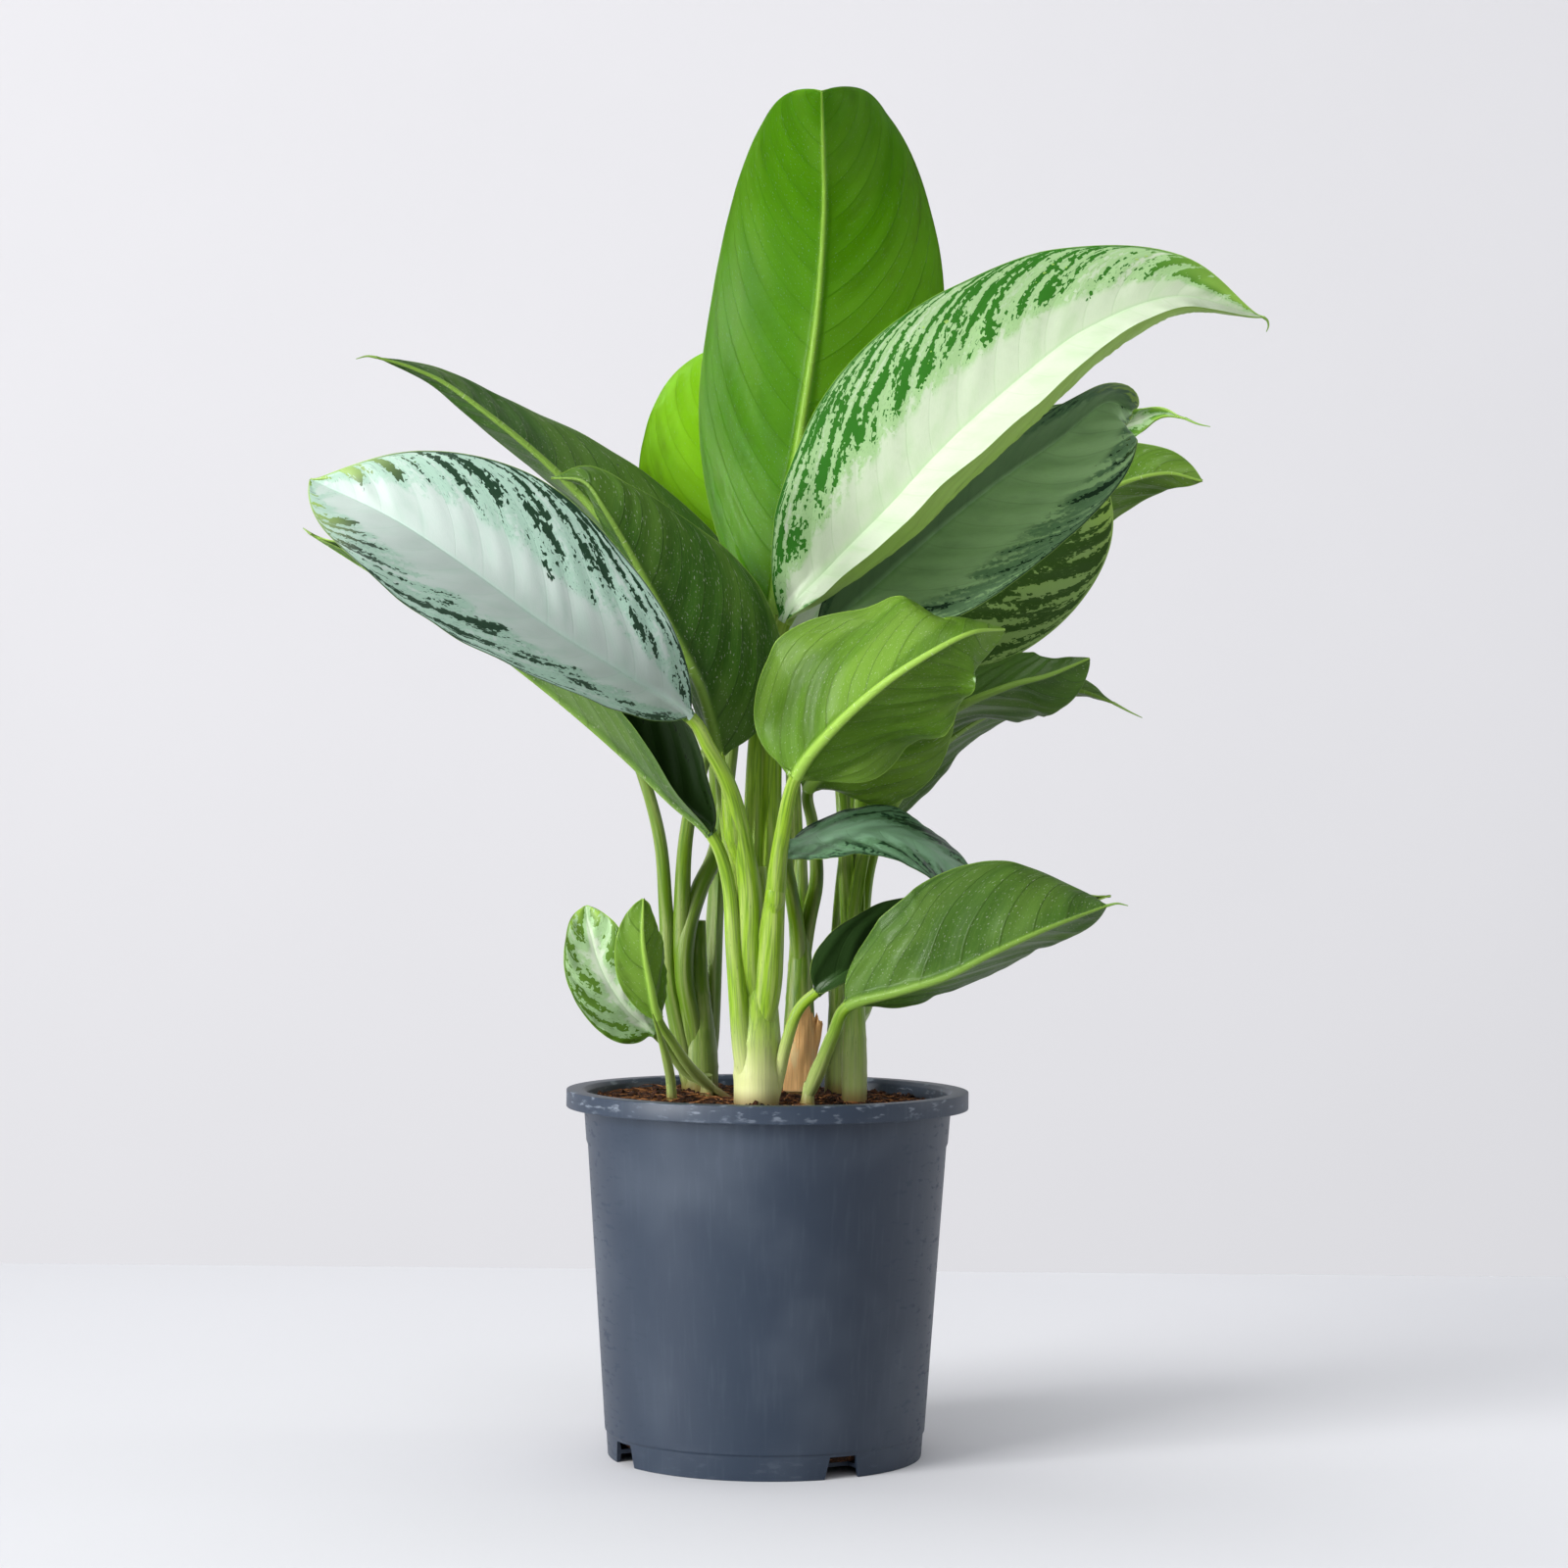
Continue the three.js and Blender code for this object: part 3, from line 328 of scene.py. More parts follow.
        "shoot": "right_inner", "faces": "underside", "stem": [4.2, 2.6],
        "stalk": [[34, 47, 222], [39, 54, 269], [47, 60, 317], [56, 62, 360], [66, 64, 389]],
        "rib": [[97, 66, 413], [131, 68, 440], [164, 66, 462], [190, 60, 470], [209, 54, 466]],
        "left": {"width": 36, "lean": [-20, -30, -30]},
        "right": {"width": 34, "lean": [-20, -50, -60]},
        "shape": [0.42, 1.4], "wave": [1.5, 2, 0.3],
        "silver": "warm", "green": "fresh", "streaks": [0.7, 0.7, 0.3],
    },
    "back_right": {
        "shoot": "right_inner", "faces": "top", "level": True, "stem": [4.6, 2.8],
        "stalk": [[33, 50, 217], [36, 70, 268], [42, 94, 310], [50, 118, 340], [56, 138, 356]],
        "rib": [[66, 168, 374], [78, 198, 383], [92, 228, 382], [104, 254, 370], [113, 274, 352]],
        "left": {"width": 43, "lean": [25, 15, 10]},
        "right": {"width": 42, "lean": [25, 12, 5]},
        "shape": [0.42, 1.5], "wave": [2.5, 2, 0.2],
        "silver": "cool", "green": "olive", "streaks": [0.6, 0.6, 0.4],
    },
    "low_right": {
        "shoot": "low_right", "faces": "underside", "stem": [3.8, 2.8],
        "stalk": [[20, -31, 174], [24, -42, 185], [30, -56, 202], [37, -68, 216]],
        "rib": [[60, -84, 224], [80, -92, 231], [101, -96, 242], [125, -96, 253], [152, -88, 263]],
        "left": {"width": 43, "lean": [0, -5, -45], "curl": -10},
        "right": {"width": 38, "lean": [-60, -75, -60]},
        "shape": [0.52, 1.15], "wave": [1.5, 2, 0.2],
        "silver": "warm", "green": "olive", "streaks": [0.6, 0.6, 0.3],
        "tail": [[152, -88, 263], [157, -86, 264], [162, -84, 263]],
    },
    "back_low": {
        "shoot": "right", "faces": "top", "level": True, "stem": [4.2, 2.6],
        "stalk": [[42, 8, 198], [46, 28, 208], [51, 48, 216], [58, 66, 223]],
        "rib": [[75, 90, 234], [93, 116, 240], [109, 138, 238], [122, 156, 230]],
        "left": {"width": 36, "lean": [25, 15, 10]},
        "right": {"width": 33, "lean": [25, 15, 10]},
        "shape": [0.42, 1.4], "wave": [2, 2, 0.2],
        "silver": "shaded", "green": "olive", "streaks": [0.6, 0.6, 0.3],
    },
}


def screen(levels):
    """A colour in linear light from its 8-bit screen values."""
    shares = [level / 255 for level in levels]
    return tuple(((share + 0.055) / 1.055) ** 2.4 if share > 0.04 else share / 12.92 for share in shares)


def colour(name, description, *levels):
    return FloatVectorProperty(
        name=name, description=description, default=screen(levels), size=3, min=0, max=1, subtype="COLOR"
    )


def length(name, description, millimetres):
    return FloatProperty(
        name=name, description=description, default=millimetres * MM, min=0, unit="LENGTH", precision=4
    )


def factor(name, description, default):
    return FloatProperty(name=name, description=description, default=default, min=0, max=1, subtype="FACTOR")


def strength(name, description, watts):
    return FloatProperty(name=name, description=description, default=watts, min=0, unit="POWER")


class PotSettings(bpy.types.PropertyGroup):
    """Sizes and colours of the nursery pot."""

    height: length("Height", "From the ground to the top of the rim", POT_TOP / MM)
    rim_radius: length("Rim radius", "Outside of the rolled rim", 95)
    lip_height: length("Lip height", "Depth of the rolled rim's outer band", 8.2)
    neck_radius: length("Neck radius", "Outside of the wall at the rim", 87.2)
    collar_drop: length("Collar drop", "From the rim down to the faint step under the collar", 24)
    step_height: length("Step height", "From the ground to the step above the foot", 11.5)
    step_radius: length("Step radius", "Outside of the wall at that step", 75.5)
    foot_radius: length("Foot radius", "Outside of the foot", 74)
    wall: length("Wall", "Thickness of the plastic", 1.8)
    plastic: colour("Plastic", "The pot's slate blue plastic", 36, 47, 62)
    worn: colour("Worn plastic", "Where the plastic is rubbed or dusty", 132, 141, 152)


class SoilSettings(bpy.types.PropertyGroup):
    """Sizes and colours of the potting soil."""

    top: length("Soil height", "From the ground to the soil's surface", 166.5)
    roughness: length("Roughness", "How far the surface rises and falls", 2.2)
    crumbs: IntProperty(name="Crumbs", description="Loose crumbs of bark and peat", default=1500, min=0)
    fibres: IntProperty(name="Fibres", description="Loose coir fibres", default=420, min=0)
    earth: colour("Earth", "The darkest of the soil", 30, 17, 9)
    coir: colour("Coir", "The reddish brown of the coir", 62, 35, 20)
    straw: colour("Straw", "The lightest fibres", 150, 100, 58)


class ShootSettings(bpy.types.PropertyGroup):
    """Sizes and colours of the canes, stalks and sheaths."""

    wing: factor("Wing", "How far a sheath's margins stand off its stalk, as a share of the radius", 0.22)
    groove: factor("Groove", "Depth of the groove between the margins", 0.12)
    ring_gap: length("Ring gap", "Distance between the rings on a cane", 17)
    pale: colour("Pale stem", "The front shoot's light green", 128, 162, 34)
    fresh: colour("Fresh stem", "The right shoots' green", 108, 142, 34)
    deep: colour("Deep stem", "The left shoots' darker green", 88, 118, 14)
    cream: colour("Cream", "The blanched foot of a stem", 214, 212, 158)
    vein: colour("Stem lines", "The darker lines along a stem", 60, 98, 26)
    dry: colour("Dry sheath", "A dead sheath's papery tan", 252, 204, 134)
    torn: colour("Torn sheath", "The dead sheath's brown foot and edges", 112, 64, 34)


class BladeSettings(bpy.types.PropertyGroup):
    """Sizes and colours of the blades."""

    thickness: length("Thickness", "Thickness of a blade between its veins", 0.7)
    vein_gap: length("Vein gap", "Distance between the side veins where they leave the midrib", 17)
    quilting: length("Quilting", "How far a blade swells between its side veins", 1.3)
    cool: colour("Cool silver", "Silver of the blades in cool light", 186, 198, 191)
    # Painted light: this silver is tinted as if lit from behind, a painted backlit glow on the blades that
    # use it.
    warm: colour("Warm silver", "Silver of the young blades", 190, 200, 178)
    # Painted shade: this silver is darkened for blades that lie in shade.
    shaded: colour("Shaded silver", "Silver of the older blades", 124, 162, 130)
    # Painted shade: the blade with this silver gets painted shade on its half beyond the midrib.
    turned: colour("Turned silver", "Silver of the blade that turns one half away", 168, 206, 146)
    # Painted shade: this is the silver painted dark green, for blades whose upper face lies in shade.
    dark: colour("Dark silver", "The least silvered blades", 40, 66, 26)
    cool_soft: colour("Cool middle tone", "Between silver and streaks in cool light", 152, 186, 166)
    # Painted light: the middle tone of the silver that is painted as if lit from behind.
    backlit_soft: colour("Warm middle tone", "Between silver and streaks on the young blades", 146, 184, 124)
    # Painted shade: the middle tone of the silver darkened for blades in shade.
    shaded_soft: colour("Shaded middle tone", "Between silver and streaks on the older blades", 86, 124, 88)
    # Painted shade: on an olive ground, these light patches stand for the silver of an upper face in shade.
    mottling: colour("Mottling", "The light patches on the least silvered blades", 136, 168, 92)
    streak: colour("Streak", "The dark green streaks near the margins", 18, 48, 28)
    # Painted light: these streaks are painted brighter and greener, as if lit from behind.
    backlit_streak: colour("Bright streak", "The streaks on young blades", 34, 98, 10)
    young: colour("Young green", "Lower face of a young blade, with light coming through", 78, 126, 0)
    lit: colour("Lit green", "Lower face of the blade with the most light behind it", 128, 172, 22)
    fresh: colour("Fresh green", "Lower face of a grown blade", 78, 114, 28)
    olive: colour("Olive green", "Lower face of an older blade", 60, 92, 30)
    deep: colour("Deep green", "Lower face of the darkest blades", 48, 84, 20)
    grey: colour("Grey green", "Lower face of the dullest blade", 74, 106, 46)
    # Painted light: this lower face faces down, and is painted pale as if light came through it.
    backlit_green: colour("Pale green", "Lower face of the palest blade", 150, 182, 92)
    rib: colour("Midrib", "The midrib on the lower face", 160, 196, 84)


class StudioSettings(bpy.types.PropertyGroup):
    """The camera, the lights and the backdrop."""

    lens: FloatProperty(name="Lens", description="Focal length", default=86.4, min=1, unit="CAMERA")
    roll: FloatProperty(
        name="Roll", description="The camera's slight tilt", default=math.radians(-0.5), subtype="ANGLE"
    )
    distance: length("Camera distance", "From the camera to the middle of the pot", 1780)
    eye_height: length("Camera height", "Height of the camera over the floor", 316.5)
    aside: length("Camera aside", "How far the camera stands to the right of the pot's middle", 6.5)
    floor_depth: length("Floor depth", "From the middle of the pot back to the floor's far edge", 670)
    wall_distance: length("Wall distance", "From the middle of the pot back to the wall", 2500)
    daylight: FloatProperty(name="Daylight", description="Brightness of the room itself", default=0.59, min=0)
    key: strength("Key light", "The large soft light from the left", 340)
    side: strength("Side light", "The low light from the left that gleams on the pot", 4)
    front: strength("Front light", "The wide light over the viewer", 35)
    fill: strength("Fill light", "The weak light from the right", 5)
    overhead: strength("Overhead light", "The light above that shines through the blades", 8)
    paint: colour("Wall paint", "The wall's pale paint", 224, 222, 224)
    ground: colour("Floor", "The floor's pale surface", 212, 212, 215)


class Socket:
    """An output socket in a finish's nodes. Arithmetic on it adds Math nodes."""

    def __init__(self, finish, socket):
        self.finish = finish
        self.socket = socket

    def maths(self, operation, *values):
        return self.finish.node("ShaderNodeMath", {"operation": operation}, dict(enumerate(values)))

    def or_more(self, other):
        """The greater of this and another value."""
        return self.maths("MAXIMUM", self, other)

    def folded(self, span):
        """The value folded back and forth between 0 and a span."""
        return self.maths("PINGPONG", self, span)

    def also(self, name):
        """Another output of the same node."""
        return Socket(self.finish, self.socket.node.outputs[name])

    def __add__(self, other):
        return self.maths("ADD", self, other)

    def __sub__(self, other):
        return self.maths("SUBTRACT", self, other)

    def __rsub__(self, other):
        return self.maths("SUBTRACT", other, self)

    def __mul__(self, other):
        return self.maths("MULTIPLY", self, other)

    __radd__ = __add__
    __rmul__ = __mul__


class Finish:
    """A material under construction."""

    def __init__(self, name):
        self.material = bpy.data.materials.new(name)
        self.material.use_nodes = True
        self.tree = self.material.node_tree
        self.tree.nodes.clear()

    def node(self, kind, settings, inputs):
        """Adds a node with its settings, then its sockets' values or links, and gives its first output."""
        made = self.tree.nodes.new(kind)
        for name, value in settings.items():
            setattr(made, name, value)
        for name, value in inputs.items():
            if isinstance(name, int):
                socket = made.inputs[name]
            else:
                socket = next(s for s in made.inputs if s.enabled and s.name == name)
            if isinstance(value, Socket):
                self.tree.links.new(value.socket, socket)
            elif socket.type == "RGBA":
                socket.default_value = (*value, 1)
            else:
                socket.default_value = value
        shown = [s for s in made.outputs if s.enabled]
        return Socket(self, shown[0]) if shown else None

    def attribute(self, name):
        """A vertex attribute that holds one number."""
        return self.node("ShaderNodeAttribute", {"attribute_name": name}, {}).also("Fac")

    def attributes(self, name):
        """The three numbers of a vertex attribute, each as a socket."""
        return self.split(self.attribute(name).also("Vector"))

    def place(self):
        """The point's place in the object, in metres."""
        return self.node("ShaderNodeTexCoord", {}, {}).also("Object")

    def split(self, vector):
        parts = self.node("ShaderNodeSeparateXYZ", {}, {0: vector})
        return parts, parts.also("Y"), parts.also("Z")

    def join(self, x, y, z):
        return self.node("ShaderNodeCombineXYZ", {}, {0: x, 1: y, 2: z})

    def noise(self, vector, scale, detail, distortion=0):
        inputs = {"Vector": vector, "Scale": scale, "Detail": detail, "Distortion": distortion}
        return self.node("ShaderNodeTexNoise", {}, inputs)

    def cells(self, vector, scale):
        return self.node("ShaderNodeTexVoronoi", {}, {"Vector": vector, "Scale": scale})

    def rise(self, value, low, high, start=0, end=1):
        """A smooth step of the value from start at low to end at high."""
        inputs = {"Value": value, "From Min": low, "From Max": high, "To Min": start, "To Max": end}
        return self.node("ShaderNodeMapRange", {"interpolation_type": "SMOOTHSTEP"}, inputs)

    def mix(self, share, first, second):
        return self.node("ShaderNodeMix", {"data_type": "RGBA"}, {"Factor": share, "A": first, "B": second})

    def painted(self, base, coats):
        """A base colour with coats over it, each a share and a colour."""
        for share, tint in coats:
            base = self.mix(share, base, tint)
        return base

    def shine(self, inputs, height=None, depth=0.0003, bump=0.5):
        """Adds the Principled shader, over a bump where a height is given."""
        if height is not None:
            bumped = {"Strength": bump, "Distance": depth, "Height": height}
            inputs = {**inputs, "Normal": self.node("ShaderNodeBump", {}, bumped)}
        return self.node("ShaderNodeBsdfPrincipled", {}, inputs)

    def glow_through(self, shader, share, tint):
        """Lets part of the light through a thin sheet, tinted."""
        back = self.node("ShaderNodeBsdfTranslucent", {}, {"Color": tint})
        return self.node("ShaderNodeMixShader", {}, {0: share, 1: shader, 2: back})

    def done(self, shader):
        self.node("ShaderNodeOutputMaterial", {}, {"Surface": shader})
        return self.material


def lerp(start, end, share):
    return start + (end - start) * share


def smooth(value, low, high):
    """0 below low, 1 above high, and a smooth step between them."""
    share = min(max((value - low) / (high - low), 0), 1)
    return share * share * (3 - 2 * share)


def evenly(steps):
    return [k / steps for k in range(steps + 1)]


def hill(value, foot, top, brink, end):
    """0 outside foot and end, 1 from top to brink, and smooth steps between them."""
    return smooth(value, foot, top) * (1 - smooth(value, brink, end))


def along(values, share):
    """The value at a share of the way along a broken line through evenly spaced values."""
    place = share * (len(values) - 1)
    first = min(int(place), len(values) - 2)
    return lerp(values[first], values[first + 1], place - first)


def through(values, share):
    """The value at a share of the way along a smooth line through those at 0, a half and 1."""
    start, middle, end = values
    pull = 2 * middle - (start + end) / 2
    return start * (1 - share) ** 2 + 2 * pull * share * (1 - share) + end * share**2


def on_curve(points, place):
    """The point and the direction on a smooth curve through points, at a place counted in points."""
    last = len(points) - 1
    k = min(int(place), last - 1)
    t = place - k
    start, end = points[k], points[k + 1]
    before = points[k - 1] if k else 2 * start - end
    after = points[k + 2] if k + 2 <= last else 2 * end - start
    first_pull = (end - before) / 2
    last_pull = (after - start) / 2
    square = 3 * (end - start) - 2 * first_pull - last_pull
    cube = 2 * (start - end) + first_pull + last_pull
    point = start + first_pull * t + square * t**2 + cube * t**3
    growth = first_pull + 2 * square * t + 3 * cube * t**2
    return point, growth.normalized()


# The fine steps between two points of a curve, and how close vertices are that are one, in metres
FINE_STEPS = 12
SAME_PLACE = 1e-6


def stations(points, first, last, shares):
    """Points and directions at shares of a curve's length between two of its points, and that length."""
    points = [Vector(p) for p in points]
    places = [first + k / FINE_STEPS for k in range(FINE_STEPS * (last - first) + 1)]
    fine = [on_curve(points, place)[0] for place in places]
    lengths = [0]
    for here, there in zip(fine, fine[1:]):
        lengths.append(lengths[-1] + (there - here).length)
    made = []
    for share in shares:
        wanted = lengths[-1] * share
        k = 1
        while k < len(fine) - 1 and lengths[k] < wanted:
            k += 1
        step = (wanted - lengths[k - 1]) / (lengths[k] - lengths[k - 1])
        made.append(on_curve(points, places[k - 1] + step / FINE_STEPS))
    return made, lengths[-1]


def even_stations(points, steps):
    """Stations in even steps along the whole of a curve, and its length."""
    return stations(points, 0, len(points) - 1, evenly(steps))


def sides(growth, level=False):
    """The unit vectors to the right and to the back of a direction of growth."""
    right = growth.cross(UP) if level else AWAY.cross(growth)
    right.normalize()
    return right, growth.cross(right)


def wrapped(bm, around, steps, shape, slots=(0,)):
    """Adds a closed body: a grid wrapped around a tube, its seam merged and its ends filled.

    shape places a vertex from its shares of the way around and along. slots are the materials around it.
    """
    faces_before = len(bm.faces)
    verts = bmesh.ops.create_grid(bm, x_segments=around, y_segments=steps, size=0.5)["verts"]
    column = {}
    for i, vert in enumerate(verts):
        row, column[vert] = divmod(i, around + 1)
        shape(vert, column[vert] / around, row / steps)
    bm.faces.ensure_lookup_table()
    faces = bm.faces[faces_before:]
    for face in faces:
        middle = sum(column[vert] for vert in face.verts) / 4 / around
        face.material_index = slots[int(middle * len(slots))]
    seam = verts[:: around + 1] + verts[around :: around + 1]
    ends = verts[: around + 1] + verts[-around - 1 :]
    bmesh.ops.remove_doubles(bm, verts=seam, dist=SAME_PLACE)
    rims = {edge for vert in ends if vert.is_valid for edge in vert.link_edges if edge.is_boundary}
    bmesh.ops.holes_fill(bm, edges=list(rims), sides=0)


def tube(bm, path, shape, around, layers=()):
    """Adds a round body along a path of points and directions. shape gives its radius in millimetres.

    layers takes each vertex's place across and along the body, and its height.
    """
    travelled = [0]
    for (here, _), (there, _) in zip(path, path[1:]):
        travelled.append(travelled[-1] + (there - here).length)

    def place(vert, u, v):
        row = round(v * (len(path) - 1))
        point, growth = path[row]
        right, back = sides(growth)
        angle = TURN * u
        radius = shape(u, v)
        vert.co = (point + radius * (math.cos(angle) * right + math.sin(angle) * back)) * MM
        if layers:
            vert[layers[0]] = Vector((radius * math.cos(angle), radius * math.sin(angle), travelled[row]))
            vert[layers[1]] = point.z

    wrapped(bm, around, len(path) - 1, place)


def sheet(bm, rows, near_depth, far_depth, mark, slots=(0,)):
    """Adds a closed sheet around rows of points, in millimetres, pushed to both faces along its normal."""
    steps, columns = len(rows) - 1, len(rows[0]) - 1

    def at(i, j):
        return rows[min(max(i, 0), steps)][min(max(j, 0), columns)]

    def place(vert, u, v):
        i = round(v * steps)
        near = u <= 0.5
        j = round(2 * u * columns) if near else round(2 * (1 - u) * columns)
        normal = (at(i + 1, j) - at(i - 1, j)).cross(at(i, j + 1) - at(i, j - 1)).normalized()
        depth = -near_depth(i, j) if near else far_depth(i, j)
        if j in (0, columns):
            depth = 0
        vert.co = (at(i, j) + depth * normal) * MM
        mark(vert, i, j)

    wrapped(bm, 2 * columns, steps, place, slots)


def placed(name, data):
    """A new object in the scene. Where data is a bmesh, it becomes the object's mesh and is freed."""
    if isinstance(data, bmesh.types.BMesh):
        mesh = bpy.data.meshes.new(name)
        data.to_mesh(mesh)
        data.free()
        data = mesh
    made = bpy.data.objects.new(name, data)
    bpy.context.scene.collection.objects.link(made)
    return made


def piece(name, bm, finishes, replaces=(), crease=40):
    """Makes a bmesh into a piece of the plant that rides on it. Edges sharper than crease stay sharp."""
    bmesh.ops.recalc_face_normals(bm, faces=bm.faces)
    made = placed(name, bm)
    made.data.shade_smooth()
    made.data.set_sharp_from_angle(angle=math.radians(crease))
    for finish in finishes:
        made.data.materials.append(finish)
    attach(made, "root")
    if replaces:
        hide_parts(*replaces)


# The pale dust on the blades' lower faces, and the grey in the faint mottling of the floor and the wall
DUST = (0.6, 0.64, 0.5)
GREY = (0.5, 0.5, 0.5)

# The tints of the light that comes through a stem, the dry sheath and the palest blade
STEM_GLOW = (0.5, 0.7, 0.12)
PAPER_GLOW = (0.7, 0.36, 0.12)
PALE_GLOW = (0.6, 0.8, 0.2)

# Heights between which the pot is rubbed more and more, in metres, and the stems are blanched and stained by
# the soil, in millimetres
RUBBED_RIM = (0.160, 0.170)
RUBBED_FOOT = (0.014, 0.004)
BLANCHED = (226, 180)
STAINED = (176, 166)


def scaled(tint, share):
    return tuple(share * level for level in tint)


def between(first, second, share):
    return tuple(lerp(a, b, share) for a, b in zip(first, second))


def plastic_finish(settings):
    """The pot's plastic: finely grained, a little streaked, rubbed pale along its rim and step."""
    finish = Finish("slate plastic")
    place = finish.place()
    x, y, z = finish.split(place)
    broad = finish.noise(place, 14, 3)
    streaks = finish.noise(finish.join(x * 420, y * 420, z * 30), 1, 2)
    specks = finish.noise(place, 1900, 1)
    scuffs = finish.rise(finish.noise(finish.join(x * 130, y * 130, z * 420), 1, 4), 0.56, 0.7)
    rim = finish.rise(z, *RUBBED_RIM)
    foot = finish.rise(z, *RUBBED_FOOT)
    worn = finish.rise(broad, 0.45, 0.75, 0, 0.1) + finish.rise(streaks, 0.5, 0.75, 0, 0.03)
    worn = worn + scuffs * (0.02 + rim * 0.5 + foot * 0.06)
    inputs = {
        "Base Color": finish.mix(worn, settings.plastic, settings.worn),
        "Roughness": 0.4 + broad * 0.1 + scuffs * 0.2,
        "Specular IOR Level": 0.35,
    }
    height = specks * 0.4 + streaks * 0.06 + scuffs * 0.2
    return finish.done(finish.shine(inputs, height, depth=0.00015, bump=0.35))


def soil_finish(settings):
    """Peat and coir: brown, mottled and matt."""
    finish = Finish("peat and coir")
    place = finish.place()
    clods = finish.noise(place, 160, 4)
    grit = finish.noise(place, 900, 3)
    threads = finish.noise(place, 420, 2, 2.5)
    brown = finish.painted(settings.earth, [
        (finish.rise(clods, 0.35, 0.7), settings.coir),
        (finish.rise(threads, 0.58, 0.72, 0, 0.75), settings.straw),
        (finish.rise(grit, 0.5, 0.34, 0, 0.8), settings.earth),
    ])
    inputs = {"Base Color": brown, "Roughness": 0.95, "Specular IOR Level": 0.15}
    return finish.done(finish.shine(inputs, clods + grit * 0.6 + threads * 0.3, depth=0.0014, bump=0.9))


def fibre_finish(name, light, dark):
    finish = Finish(name)
    place = finish.place()
    tint = finish.mix(finish.rise(finish.noise(place, 220, 2), 0.38, 0.62), dark, light)
    inputs = {"Base Color": tint, "Roughness": 0.85, "Specular IOR Level": 0.2}
    return finish.done(finish.shine(inputs, finish.noise(place, 2500, 2), depth=0.0002))


def stem_finish(name, tint, blanching, settings):
    """A live stem: long lines, small flecks, and a foot that is more or less blanched."""
    finish = Finish(name)
    x, y, run = finish.attributes("grain")
    height = finish.attribute("height")
    lines = finish.noise(finish.join(x * 1.6, y * 1.6, run * 0.03), 1, 3)
    broad = finish.noise(finish.join(x * 0.35, y * 0.35, run * 0.02), 1, 2)
    fleck_cells = finish.cells(finish.join(x * 0.55, y * 0.55, run * 0.16), 1)
    flecks = finish.rise(fleck_cells, 0.17, 0.09) * finish.rise(broad, 0.5, 0.6)
    blanched = finish.rise(height + broad * 24, *BLANCHED)
    stem = finish.painted(tint, [
        (finish.rise(lines, 0.42, 0.64, 0, 0.6), settings.vein),
        (finish.rise(broad, 0.42, 0.7, 0, 0.2), settings.cream),
        (blanched * blanching, settings.cream),
        (finish.rise(height, *STAINED, 0, 0.75), settings.torn),
        (flecks * 0.45, settings.vein),
    ])
    inputs = {"Base Color": stem, "Roughness": 0.36, "Specular IOR Level": 0.25}
    shader = finish.shine(inputs, lines + broad * 0.5, depth=0.0005, bump=0.45)
    return finish.done(finish.glow_through(shader, 0.1, STEM_GLOW))


def dry_finish(settings):
    """A dead sheath: tan paper with brown fibres, darkest along its torn edges."""
    finish = Finish("dry sheath paper")
    across, up, edge = finish.attributes("paper")
    fibres = finish.noise(finish.join(across * 1.3, up * 0.05, 3), 1, 3)
    blotches = finish.noise(finish.join(across * 0.16, up * 0.07, 7), 1, 3)
    tan = finish.painted(settings.dry, [
        (finish.rise(fibres, 0.4, 0.66, 0, 0.3), settings.torn),
        (finish.rise(blotches, 0.5, 0.7, 0, 0.5), settings.cream),
        (finish.rise(edge + blotches * 2, 2.4, 0.6) * 0.4, settings.torn),
    ])
    shader = finish.shine({"Base Color": tan, "Roughness": 0.62}, fibres, depth=0.0006, bump=0.6)
    return finish.done(finish.glow_through(shader, 0.35, PAPER_GLOW))


# The side of the small blocks that make the edges of the streaks jagged
BLOCK = 0.002


